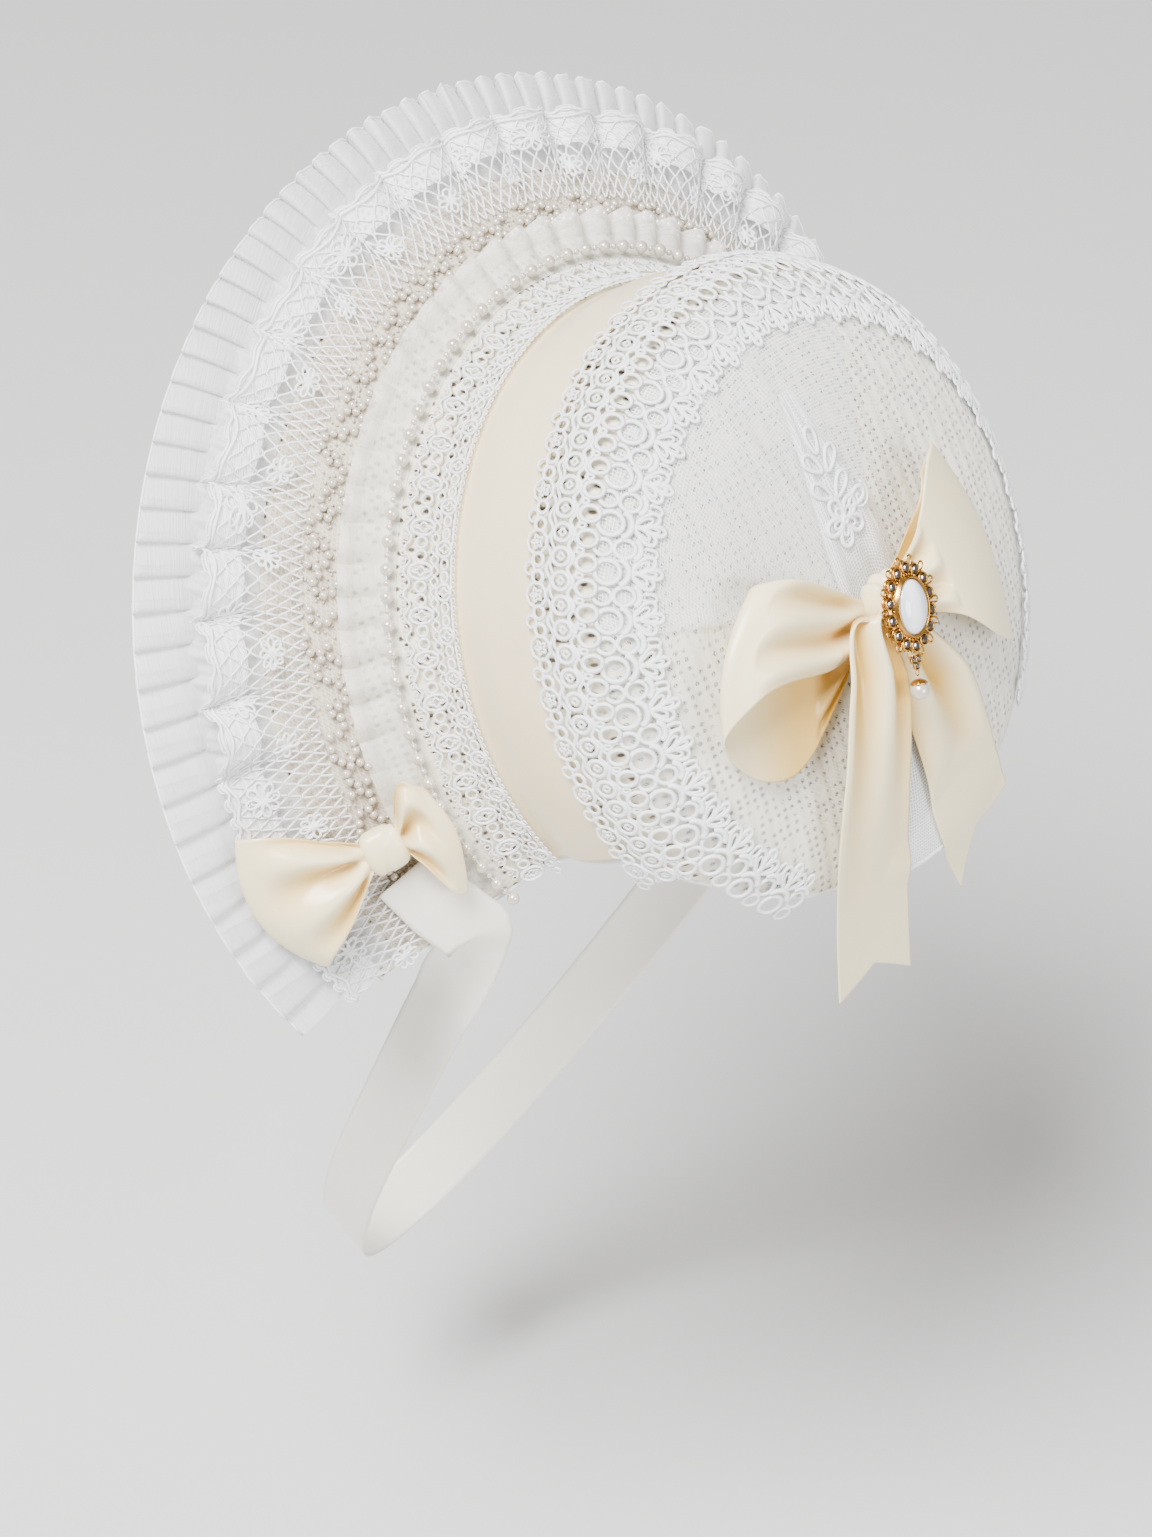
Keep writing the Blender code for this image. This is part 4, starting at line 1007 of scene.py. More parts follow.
class HALFBONNET_OT_bead_net(bpy.types.Operator):
    """Lay the beige net and sew its pearls in open rings"""
    bl_idname = "half_bonnet.bead_net"
    bl_label = "Bead net"

    def execute(self, context):
        grid = shell_grid(np.linspace(NET_START, NET_END, 16), 240, NET_LIFT, EDGE_MARGIN)
        net = surface_piece("bead_net_cloth", grid, finish("bead_net"), "beige_net", "bead_net_band")
        draw = np.random.default_rng(SEEDS["beads"])
        half = arc_length(NET_RUN)
        middle, _ = repeats(half, BEAD_SPACING)
        count = draw.integers(5, 8, len(middle))
        first = draw.uniform(0.0, 360.0, len(middle))
        # Open rings of five to seven beads, whose middles wave along the net as a sine.
        waved = BEAD_RUN + BEAD_SWING * np.sin(middle * 0.21)
        along, run = [], []
        for x, y, number, start in zip(middle, waved, count, first):
            turn = np.radians(start + np.arange(number) * BEAD_TURN)
            along.append(x + BEAD_RING * np.sin(turn))
            run.append(y + BEAD_RING * np.cos(turn))
        spots = on_shell(NET_RUN)(np.concatenate(along), np.concatenate(run), 1.2 + BEAD_RADIUS)
        pearl_piece("bead_net_pearls", spots, BEAD_RADIUS * 0.001, finish("pearl_coating"), "pearl")
        along = draw.uniform(-half, half, SEED_COUNT)
        run = draw.uniform(*SEED_RUNS, SEED_COUNT)
        pearl_piece("bead_net_seeds", on_shell(NET_RUN)(along, run, 1.5), SEED_RADIUS,
                    finish("pearl_coating"), "pearl", rows=4, columns=6)
        return {"FINISHED"}


# Frills and ruffle.

def flat_near_bows(angle):
    """Share of a frill's fullness that is left where a side bow presses it down."""
    return np.interp(np.abs(angle), [78.0, 86.0], [1.0, 0.12])


def gathers(share, folds, seed):
    """Uneven folds round the head, 0 in the valleys and 1 on the crests.

    They are a cosine of the share round the head, whose phase drifts by three slow sines.
    """
    draw = np.random.default_rng(seed)
    drift = sum(draw.uniform(0.1, 0.3) * np.sin(share * folds * rate + draw.uniform(0.0, 6.0))
                for rate in (0.31, 0.73, 1.27))
    phase = math.pi * folds * share + 2.0 * drift
    return 0.5 + 0.5 * np.cos(phase), phase


# The lace frill, in millimetres: its run where it starts to wave and its depth from there; its lift at
# three runs; on a crest the most lift, the lean to one side and how far the edge is drawn in; the root's
# crinkle with where it starts and its rise; and the runs of the whole frill and of its edge's cloth.
LACE_FRILL_FOLDS = 27
FRILL_MARGIN = 2.0       # degrees
LACE_FRILL_ROOT, LACE_FRILL_DEPTH = 229.0, 31.0
LACE_FRILL_LIFTS = ([225.0, 235.0, 260.0], [1.2, 2.8, 5.4])
LACE_FRILL_HEIGHT, LACE_FRILL_LEAN, LACE_FRILL_PULL = 9.0, 4.0, 4.0
CRINKLE_HEIGHT, CRINKLE_START, CRINKLE_RISE = 0.35, 226.0, 4.0
LACE_FRILL_RUNS, LACE_CLOTH_RUNS = (227.6, 260.0), (247.0, 259.0)


def on_lace_frill(x, y, lift):
    """The lace frill: sewn flat at its root, then waving up in folds that lean over to one side.

    Its lift grows in a straight line with the run, times a cosine round the head, and a finer cosine
    crinkles its root.
    """
    radius = float(ring_radius(LACE_FRILL_RUN))
    angle = np.degrees(x * 0.001 / radius)
    crest, phase = gathers(angle / float(end_angle(LACE_FRILL_RUN)), LACE_FRILL_FOLDS, SEEDS["lace_frill"])
    grown = np.clip((y - LACE_FRILL_ROOT) / LACE_FRILL_DEPTH, 0.0, 1.0)
    full = grown * flat_near_bows(angle)
    begun = np.clip((y - CRINKLE_START) / CRINKLE_RISE, 0.0, 1.0)
    crinkle = CRINKLE_HEIGHT * np.cos(6.0 * phase + 1.0) * begun * (1.2 - grown)
    raised = np.interp(y, *LACE_FRILL_LIFTS) + LACE_FRILL_HEIGHT * full * crest + crinkle
    lean = np.degrees(LACE_FRILL_LEAN * 0.001 * full * np.sin(phase) / radius)
    pulled_in = LACE_FRILL_PULL * full * crest
    return shell((y - pulled_in) * 0.001, angle + lean, (raised + lift) * 0.001)


def lace_frill_strokes():
    """A net of oval meshes in rows, spider flowers over it, and a scalloped edge with picots."""
    half = arc_length(LACE_FRILL_RUN, FRILL_MARGIN)
    strokes = []
    for row in range(8):
        run = 229.2 + 3.7 * row
        strokes.append((long_line(half, run, 1.85, 4.2, math.pi * row, 0.7), 0.40, 0.30, 0.3, False))
    x, pitch = repeats(half, 30.0)
    for shift, run, size in ((0.0, 249.5, 5.2), (pitch / 2.0, 238.5, 4.2)):
        for petal in range(8):
            shape = turned(leaf(size, size * 0.52, 12), 45.0 * petal)
            strokes.append((spread(shape, x + shift, run), 0.50, 0.35, 0.6, True))
    scallops, _ = repeats(half, 5.0)
    strokes += [
        (long_line(half, 257.2, 0.8, 10.0, 0.0, 1.0), 0.65, 0.40, 0.5, False),
        (long_line(half, 259.0, 0.6, 5.0, 0.0, 0.8), 0.60, 0.40, 0.5, False),
        (spread(ring(1.6, 1.0, 8), scallops, 259.6), 0.35, 0.30, 0.4, True),
    ]
    return strokes


ORGANZA_FOLDS = 43
ORGANZA_LIFTS = [0.0006, 0.0008, 0.0027]
ORGANZA_HEIGHT, ORGANZA_LEAN = 0.0062, 0.0022


class HALFBONNET_OT_frills(bpy.types.Operator):
    """Gather the organza strip and the lace frill on the brim"""
    bl_idname = "half_bonnet.frills"
    bl_label = "Frills"

    def execute(self, context):
        half = arc_length(LACE_FRILL_RUN, FRILL_MARGIN)
        x = np.arange(-half, half, 1.4)[None, :]
        grid = on_lace_frill(x, np.linspace(*LACE_CLOTH_RUNS, 12)[:, None], 0.0)
        cloth = surface_piece("lace_frill_cloth", grid, finish("dense_lace"), "white_lace")
        frill = stitched("lace_frill_threads", lace_frill_strokes(), on_lace_frill, finish("cotton_thread"),
                         "white_lace", "lace_frill")
        whole = flat_size(on_lace_frill(x, np.linspace(*LACE_FRILL_RUNS, 24)[:, None], 0.0))
        declare_lace(frill, *whole, "gathered", "brim_fabric")
        self.organza()
        return {"FINISHED"}

    def organza(self):
        """A plain strip whose folds grow from its seam and lean over to one side.

        A fold's height is a power of a cosine's crest, so that its top is narrow and its foot wide.
        """
        run = np.linspace(ORGANZA_START, ORGANZA_END, 24)[:, None]
        share = np.linspace(-1.0, 1.0, 900)[None, :]
        angle = share * (end_angle(run) - FRILL_MARGIN)
        grown = np.clip((run - ORGANZA_FOLD + 0.003) / (ORGANZA_END - ORGANZA_FOLD), 0.0, 1.0)
        crest, phase = gathers(share, ORGANZA_FOLDS, SEEDS["organza"])
        lift = np.interp(run, [ORGANZA_START, ORGANZA_FOLD, ORGANZA_END], ORGANZA_LIFTS) \
            + ORGANZA_HEIGHT * grown * np.abs(crest) ** 1.6 * flat_near_bows(angle)
        lean = np.degrees(ORGANZA_LEAN * grown * np.sin(phase) / ring_radius(run))
        grid = shell(run, angle + lean, lift)
        strip = surface_piece("organza_strip", grid, finish("fine_organza"), "sheer_white", "organza_frill")


TOP_PLEAT, CORNER_PLEAT = 0.0085, 0.0165
PLEAT_HEIGHT, PLEAT_FLARE, PLEAT_SLACK = 0.0060, 0.25, 0.0007
PLEAT_LIFT = 0.0010
SLACK_START, FLARE_START = 0.2620, 0.2660
# A pleat goes forward over its width and a third more, back under its fold, and on.
PLEAT_FORWARD = np.array([0.0, 0.2, 0.45, 0.7, 0.95, 1.2, 1.34, 1.37, 1.34, 1.2, 1.05])
PLEAT_UPWARD = np.array([0.0, 0.34, 0.62, 0.82, 0.95, 1.0, 0.97, 0.84, 0.66, 0.36, 0.12])
FINE_GATHERS, BROAD_GATHERS = 150, 61
GATHERS_GAP, GATHERS_SWELL = 0.0005, 0.0016
FINE_HEIGHT, BROAD_HEIGHT = 0.0012, 0.0020


def pleat_edges():
    """Angles of the ruffle's pleats, which are closer over the head than at the corners."""
    angles = [0.0]
    limit = float(end_angle(RUFFLE_END)) - EDGE_MARGIN
    radius = SHELL[-1, 1]
    while angles[-1] < limit:
        pitch = TOP_PLEAT + (CORNER_PLEAT - TOP_PLEAT) * (angles[-1] / limit) ** 1.5
        angles.append(angles[-1] + math.degrees(pitch / radius))
    half = np.array(angles) * limit / angles[-1]
    return np.concatenate([-half[:0:-1], half])


class HALFBONNET_OT_ruffle(bpy.types.Operator):
    """Fold the knife-pleated organza ruffle round the rim, with its gathered strip"""
    bl_idname = "half_bonnet.ruffle"
    bl_label = "Pleated ruffle"

    def execute(self, context):
        # Each pleat lifts by its table times a height that grows from the seam and flares at the rim,
        # with a little random slack there.
        edges = pleat_edges()
        pitch = np.diff(edges)
        angle = (edges[:-1, None] + pitch[:, None] * PLEAT_FORWARD).ravel()
        height = np.tile(PLEAT_UPWARD, len(pitch))
        keep = angle <= edges[-1]
        angle, height = angle[keep][None, :], height[keep][None, :]
        run = np.linspace(RUFFLE_START, RUFFLE_END, 24)[:, None]
        grown = step_up(run, RUFFLE_SEAM, RUFFLE_FREE)
        draw = np.random.default_rng(SEEDS["pleats"])
        slack = PLEAT_SLACK * draw.standard_normal(angle.shape) * step_up(run, SLACK_START, RUFFLE_END)
        flare = 1.0 + PLEAT_FLARE * step_up(run, FLARE_START, RUFFLE_END)
        grid = shell(run, angle, PLEAT_LIFT + height * PLEAT_HEIGHT * grown * flare + np.abs(slack))
        pleats = surface_piece("ruffle_pleats", grid, finish("woven_organza"), "sheer_white",
                               "pleated_ruffle")
        hem = grid[-1:]
        edging = cord_piece("ruffle_hem", hem, np.broadcast_to(AXIS, hem.shape), 0.0005, 0.0004,
                            finish("cotton_thread"), "sheer_white")
        self.gathered_strip()
        return {"FINISHED"}

    def gathered_strip(self):
        """The ruffle's gathered strip: broad and fine folds across it that swell between its seams.

        The swell is a power of half a sine along the run.
        """
        run = np.linspace(GATHERS_START, GATHERS_END, 24)[:, None]
        share = np.linspace(-1.0, 1.0, 1000)[None, :]
        angle = share * (end_angle(run) - FRILL_MARGIN)
        along = (run - GATHERS_START) / (GATHERS_END - GATHERS_START)
        swell = np.abs(np.sin(math.pi * along)) ** 0.7
        fine, _ = gathers(share + 0.02 * along, FINE_GATHERS, SEEDS["fine_gathers"])
        broad, _ = gathers(share, BROAD_GATHERS, SEEDS["broad_gathers"])
        height = GATHERS_SWELL + BROAD_HEIGHT * broad + FINE_HEIGHT * fine
        lift = FIRST_LAYER + GATHERS_GAP + swell * height * np.maximum(flat_near_bows(angle), 0.4)
        grid = shell(run, angle, lift)
        strip = surface_piece("ruffle_gathers", grid, finish("woven_organza"), "sheer_white")


# Bows.

RIBBON_WIDTH = 0.038
BOW_LIFT = 0.0042        # least lift of the back bow's ribbons above the crown
TAIL_NOTCH = 0.010
LOOP_PUSH, SIDE_LOOP_PUSH = 0.0070, 0.0065
# The back knot's middle, and its half sizes across, up and out.
BACK_KNOT_SIDE, BACK_KNOT_OUT = 0.0045, 0.0120
BACK_KNOT_HALF = (0.0090, 0.0112, 0.0056)


def pinch_folds(grid, width, folds, most, reach, phase=0.0):
    """Folds that radiate from a pinched end: how far each point lifts, and how deep in a fold it lies, which
    sets the satin's painted fold shade.

    Where the ribbon is narrower than its own width, the spare width goes into folds. Their height is
    the root of the width there times the spare width, over pi times their number, up to the most, and
    a cosine across. They start at the knot and fade over the reach, as shares of the length.
    """
    wide = np.linalg.norm(grid[:, -1] - grid[:, 0], axis=-1)[:, None]
    spare = np.sqrt(np.clip(wide * (width - wide), 0.0, None)) / (math.pi * folds)
    share = np.linspace(0.0, 1.0, grid.shape[1])[None, :]
    along = np.linspace(0.0, 1.0, grid.shape[0])[:, None]
    strength = np.minimum(spare, most) * step_up(along, 0.0, 0.10) * (1.0 - step_up(along, *reach))
    wave = np.cos(2.0 * math.pi * (folds * share + phase))
    edge = step_up(np.minimum(share, 1.0 - share), 0.0, 0.10)
    return strength * wave * (0.35 + 0.65 * edge), (0.5 - 0.5 * wave) * strength / most


def rounded(grid, centre, most):
    """Push a loop's turn away from the knot, most at the middle of the ribbon's width, in metres.

    The push is the sine of the share across times the squared sine of the share along.
    """
    away = grid[..., :2] - centre
    away /= np.linalg.norm(away, axis=-1, keepdims=True)
    share = np.linspace(0.0, 1.0, grid.shape[1])[None, :]
    along = np.linspace(0.0, 1.0, grid.shape[0])[:, None]
    push = most * np.sin(math.pi * share) * np.sin(math.pi * along) ** 2
    return np.concatenate([grid[..., :2] + push[..., None] * away, grid[..., 2:]], axis=-1)


def ribbon_piece(name, grid, node, fold=None, material="polyester_satin_cream", slot="cream_satin"):
    """A satin ribbon on a grid, with its thickness, and painted shade in its folds where a fold depth is
    given.
    """
    piece = surface_piece(name, grid, finish(material), slot, node, thickness=sizes().satin_thickness)
    if fold is not None:
        set_fold_shade(piece, fold)
    return piece


def with_shaded_underside(depth, least):
    """Depths in the folds of a loop, for its painted shade, whose second half, its underside, counts as at
    least that deep, so that it is painted as in shade.
    """
    share = np.linspace(0.0, 1.0, depth.shape[0])[:, None]
    return np.maximum(depth, least * step_up(share, 0.55, 0.75))


def signed_power(value, power):
    """A power of the value's size, with its sign: below 1 it squares off a circle."""
    return np.sign(value) * np.abs(value) ** power


def wrap_piece(node, grid, faces, uv):
    """A knot's wrap, closed round the ribbon and joined at its ends."""
    name = node + "_satin"
    mesh = new_mesh(name, grid.reshape(-1, 3), faces, uv.reshape(-1, 2))
    merge_doubles(mesh)
    return add_piece(name, mesh, finish("polyester_satin_cream"), "cream_satin", node)


class HALFBONNET_OT_back_bow(bpy.types.Operator):
    """Tie the satin bow at the back of the crown"""
    bl_idname = "half_bonnet.back_bow"
    bl_label = "Back bow"

    def execute(self, context):
        # A loop also folds where it comes back under the knot, and every ribbon stays off the crown.
        for name, (table, notch, folds, most, reach, phase) in BACK_BOW.items():
            is_loop = "loop" in name
            flat = ribbon_grid(table, 130, 40, notch)
            if is_loop:
                flat = rounded(flat, (BACK_KNOT_SIDE, 0.0), LOOP_PUSH)
            side, rise, out = flat[..., 0], flat[..., 1], flat[..., 2]
            lifted, depth = pinch_folds(flat, RIBBON_WIDTH, folds, most, reach, phase)
            if is_loop:
                back, deep = pinch_folds(flat[::-1], RIBBON_WIDTH, folds, most * 0.5, reach, phase + 0.3)
                lifted = lifted + back[::-1]
                # Painted shade: the folds' depths, and the loop's underside, darken and warm the satin's
                # colour.
                depth = with_shaded_underside(np.maximum(depth, deep[::-1]), 0.75)
            out = np.maximum(out + lifted, crown_out(side, rise) + BOW_LIFT)
            ribbon_piece(name + "_satin", bow_place(side, rise, out), name, depth)
        self.knot()
        return {"FINISHED"}

    def knot(self):
        """The wrap round the bow's middle: a squared barrel with soft folds down its front.

        Round it, the rise is a power of the cosine and the way out a power of the sine. Along it, both
        bulge by the root of one less a fourth power, with a ripple.
        """
        around = np.linspace(0.0, 2.0 * math.pi, 72, endpoint=False)[:, None]
        across = np.linspace(-1.0, 1.0, 36)[None, :]
        bulge = (1.0 - np.abs(across) ** 4) ** 0.5 * (1.0 + 0.07 * np.cos(9.0 * across + np.sin(around)))
        half_wide, half_tall, half_deep = BACK_KNOT_HALF
        rise = half_tall * bulge * signed_power(np.cos(around), 0.75)
        out = BACK_KNOT_OUT + half_deep * bulge * signed_power(np.sin(around), 0.6)
        side = BACK_KNOT_SIDE + half_wide * across + 0.0 * around
        wrap_piece("back_bow_knot", bow_place(side, rise, out), grid_faces(72, 36, close_rows=True),
                   np.stack([side, rise], -1))


# The bows' ribbons in millimetres: one edge's (side, rise, out) from the back pole, then the other's;
# then the notch, and for the folds their number, most height, reach and phase, with lengths in metres.
BACK_BOW = {
    "back_bow_loop_left": ([
        (12.4, 6.0, 9.0, 12.4, -5.0, 9.0),
        (27.0, 18.0, 14.0, 32.0, -6.0, 11.0),
        (49.0, 33.0, 15.0, 74.0, 3.0, 13.0),
        (55.0, 34.0, 10.0, 85.0, -3.0, 7.0),
        (49.0, 26.0, 4.0, 76.0, -22.0, 0.0),
        (34.0, 10.0, 4.2, 56.0, -32.0, 1.5),
        (22.0, 4.0, 4.6, 30.0, -18.0, 4.4),
        (12.4, 4.0, 4.6, 12.4, -5.0, 4.6),
    ], 0.0, 2.2, 0.0042, (0.24, 0.55), 0.15),
    "back_bow_loop_right": ([
        (-2.7, 6.0, 9.0, -2.7, -6.0, 9.0),
        (-13.0, 21.0, 19.0, -20.0, -16.0, 18.0),
        (-27.0, 36.0, 18.0, -38.0, -34.0, 14.0),
        (-39.0, 35.0, 9.0, -52.0, -40.0, 2.0),
        (-38.0, 27.0, 2.6, -46.0, -32.0, -0.5),
        (-20.0, 13.0, 4.4, -24.0, -15.0, 4.4),
        (-2.7, 4.0, 4.6, -2.7, -5.0, 4.6),
    ], 0.0, 2.4, 0.0042, (0.20, 0.52), 0.0),
    "back_bow_tail_left": ([
        (6.0, 6.0, 17.8, 9.0, -6.0, 17.0),
        (13.0, 2.0, 18.3, 26.0, 6.0, 17.3),
        (10.0, -20.0, 16.0, 38.0, -12.0, 16.5),
        (13.0, -40.0, 12.0, 48.0, -38.0, 12.0),
        (17.0, -60.0, 6.0, 54.0, -60.0, 5.0),
        (17.0, -91.0, -8.0, 54.0, -91.0, -9.5),
        (16.0, -132.0, -24.5, 53.0, -124.0, -23.5),
    ], TAIL_NOTCH, 1.6, 0.0032, (0.40, 0.85), 0.35),
    "back_bow_tail_right": ([
        (6.0, -9.8, 9.0, -5.0, -8.8, 9.0),
        (7.0, -22.0, 8.5, -14.0, -20.0, 8.5),
        (8.0, -40.0, 7.0, -25.0, -38.0, 6.5),
        (6.0, -62.0, 3.5, -31.0, -62.0, 1.5),
        (0.0, -92.0, -8.0, -38.0, -84.0, -7.0),
        (-15.0, -119.0, -21.0, -41.0, -92.0, -10.0),
    ], TAIL_NOTCH, 1.5, 0.0030, (0.40, 0.85), 0.6),
}

SIDE_BOW_RUN, SIDE_BOW_ANGLE = 0.2235, 98.0
SIDE_RIBBON_WIDTH = 0.046
# The side knot's middle, and its half sizes along the run, round the brim and out.
SIDE_KNOT_LIFT = 0.0110
SIDE_KNOT_HALF = (0.0068, 0.0078, 0.0050)
# Number of folds, their most height, reach and phase, where a side loop leaves and where it comes back.
SIDE_FOLDS = (2.2, 0.0038, (0.24, 0.50), 0.5)
SIDE_BACK_FOLDS = (2.0, 0.0010, (0.22, 0.44), 0.2)
# A side bow in millimetres: along the run from the knot, round the brim downwards, and lift.
SIDE_LOOPS = {
    "outer_loop": [
        (5.4, -4.0, 11.5, 5.4, 4.0, 11.5),
        (20.0, -17.0, 17.0, 18.0, 13.0, 17.0),
        (33.0, -22.0, 15.0, 30.0, 20.0, 15.0),
        (37.0, -22.0, 11.0, 33.0, 23.0, 10.5),
        (31.0, -19.0, 7.6, 29.0, 20.0, 7.6),
        (16.0, -11.0, 7.0, 16.0, 11.0, 7.0),
        (5.4, -4.0, 7.2, 5.4, 4.0, 7.2),
    ],
    "inner_loop": [
        (-5.4, -4.0, 11.5, -5.4, 4.0, 11.5),
        (-12.0, -20.0, 18.0, -9.0, 12.0, 17.0),
        (-20.0, -18.0, 17.0, -12.0, 28.0, 14.0),
        (-22.0, -14.0, 12.0, -15.0, 30.0, 10.5),
        (-17.0, -8.0, 7.5, -12.0, 22.0, 7.1),
        (-5.4, -4.0, 6.7, -5.4, 4.0, 6.7),
    ],
}


def side_bow_place(grid, sign):
    """From the bow's own sheet of run, round and lift to the shell on the wearer's left or right."""
    angle = SIDE_BOW_ANGLE + np.degrees(grid[..., 1] / ring_radius(SIDE_BOW_RUN))
    return shell(SIDE_BOW_RUN + grid[..., 0], sign * angle, grid[..., 2])


class HALFBONNET_OT_side_bows(bpy.types.Operator):
    """Tie a small satin bow on each lower corner of the brim"""
    bl_idname = "half_bonnet.side_bows"
    bl_label = "Side bows"

    def execute(self, context):
        for side_name, sign in (("left", 1), ("right", -1)):
            for part_name, table in SIDE_LOOPS.items():
                flat = rounded(ribbon_grid(table, 110, 40), (0.0, 0.0), SIDE_LOOP_PUSH)
                lifted, depth = pinch_folds(flat, SIDE_RIBBON_WIDTH, *SIDE_FOLDS)
                back, _ = pinch_folds(flat[::-1], SIDE_RIBBON_WIDTH, *SIDE_BACK_FOLDS)
                flat[..., 2] += lifted + back[::-1]
                # Painted shade in the folds and on each loop's underside, a little lighter than on the back
                # bow.
                depth = 0.8 * with_shaded_underside(depth, 0.6)
                node = "side_bow_%s_%s" % (side_name, part_name)
                ribbon_piece(node + "_satin", side_bow_place(flat, sign)[:, ::sign], node,
                             depth[:, ::sign])
            self.knot(side_name, sign)
        return {"FINISHED"}

    def knot(self, side_name, sign):
        """The wrap: a barrel across the ribbon with a fold that crosses it aslant.

        Along it, it bulges by the root of one less a fifth power, and the fold is a bell-shaped dip.
        """
        around = np.linspace(0.0, 2.0 * math.pi, 64, endpoint=False)[:, None]
        across = np.linspace(-1.0, 1.0, 32)[None, :]
        slant = np.exp(-((across - 0.5 * np.cos(around) + 0.1) / 0.22) ** 2)
        bulge = (1.0 - np.abs(across) ** 5) ** 0.5 * (1.0 - 0.10 * slant)
        half_long, half_down, half_deep = SIDE_KNOT_HALF
        down = half_down * bulge * np.cos(around)
        lift = SIDE_KNOT_LIFT + half_deep * bulge * signed_power(np.sin(around), 0.7)
        grid = side_bow_place(np.stack([half_long * across + 0.0 * around, down, lift], -1), sign)
        wrap_piece("side_bow_%s_knot" % side_name, grid, grid_faces(64, 32, close_rows=True)[:, ::-sign],
                   grid[..., [0, 2]])


# Brooch.

BROOCH_TURN = math.radians(16.0)
BROOCH_SIDE = SIDE * math.cos(BROOCH_TURN) + RISE * math.sin(BROOCH_TURN)
BROOCH_RISE = RISE * math.cos(BROOCH_TURN) - SIDE * math.sin(BROOCH_TURN)
BROOCH_CENTRE = bow_place(BACK_KNOT_SIDE, 0.0, 0.0196)
STONE_COUNT = 14
POINT = 0.01             # millimetres, the radius of a profile's closing rings
# Half sizes of the brooch's ovals, in millimetres: the stones' ring, the leaves', the bezel's beads' and
# the bezel's rope.
STONE_RING, LEAF_RING, BEAD_OVAL, BEZEL_ROPE = (9.7, 12.7), (10.1, 13.1), (8.0, 10.6), (7.2, 9.7)
BEZEL_BEADS, BEZEL_BEAD_RADIUS = 40, 0.00055
LEAF_LEAN = 0.8          # turns the leaves from the middle's rays towards the oval's own normals
# The setting's profile from its back to the stone's seat: half width, half height, out and wave share.
SETTING_TALL, SETTING_WAVE = 14.6, 0.05
SETTING_PROFILE = [
    (POINT, POINT, -1.0, 0.0), (10.0, 12.6, -1.0, SETTING_WAVE), (11.6, SETTING_TALL, -0.2, SETTING_WAVE),
    (11.6, SETTING_TALL, 0.3, SETTING_WAVE), (11.0, 14.0, 0.6, SETTING_WAVE), (7.7, 10.2, 0.6, 0.0),
    (7.5, 10.0, 2.5, 0.0), (7.2, 9.7, 2.8, 0.0), (6.9, 9.4, 2.6, 0.0), (6.8, 9.3, 0.7, 0.0),
    (POINT, POINT, 0.7, 0.0),
]
CABOCHON_HALF_WIDE, CABOCHON_HALF_TALL = 6.5, 9.0
CABOCHON_FOOT, CABOCHON_GIRDLE, CABOCHON_DOME = 0.9, 1.9, 3.2
# The drop hangs from the setting's lowest point: its three stones, its ring and its pearl's middle.
DROP_TOP = -SETTING_TALL * (1.0 + SETTING_WAVE) - 0.3
DROP_STONE_RADIUS, DROP_PEARL_RADIUS = 0.0010, 0.0033
DROP_STONES_ACROSS = np.array([-1.2, 1.2, 0.0])
DROP_STONES_UP = DROP_TOP - np.array([1.6, 1.6, 3.7])
DROP_RING_UP = DROP_TOP - 5.9
PEARL_UP = DROP_TOP - 8.2 - 0.3 - 3.3
# The cap's profile over the pearl: its radius, its height and the share of its scallops.
CAP_RADIUS = np.array([0.02, 1.2, 2.1, 2.6, 2.7, 2.5, 0.02])[:, None]
CAP_HEIGHT = np.array([3.9, 3.7, 3.2, 2.5, 2.0, 2.1, 3.4])[:, None]
CAP_SCALLOP = np.array([0, 0, 0.3, 0.8, 1.0, 0.8, 0])[:, None]


def on_brooch(x, y, lift):
    """Flat millimetres in the brooch's own frame."""
    return BROOCH_CENTRE + np.multiply.outer(x * 0.001, BROOCH_SIDE) \
        + np.multiply.outer(y * 0.001, BROOCH_RISE) + np.multiply.outer(lift * 0.001, AXIS)


def oval_shell(rings, points=96, waves=0):
    """Grid of oval rings (half width, half height, out, wave share), whose radius waves by a cosine."""
    turn = np.linspace(0.0, 2.0 * math.pi, points, endpoint=False)[None, :]
    half_wide, half_tall, out, wave = (np.array(column)[:, None] for column in zip(*rings))
    grown = 1.0 + wave * np.cos(waves * turn)
    return on_brooch(half_wide * grown * np.sin(turn), half_tall * grown * np.cos(turn), out + 0.0 * turn)


def turned_piece(name, grid, material, slot, *nodes):
    """Closed solid from rings of points, the first and last of which are nearly points."""
    flat = np.einsum("ijk,lk->ijl", grid - BROOCH_CENTRE, np.stack([BROOCH_SIDE, BROOCH_RISE]))
    faces = grid_faces(*grid.shape[:2], close_columns=True)
    mesh = new_mesh(name, grid.reshape(-1, 3), faces, flat.reshape(-1, 2))
    merge_doubles(mesh, 0.00001)
    edit = bmesh.new()
    edit.from_mesh(mesh)
    bmesh.ops.recalc_face_normals(edit, faces=edit.faces)
    edit.to_mesh(mesh)
    edit.free()
    return add_piece(name, mesh, material, slot, *nodes)


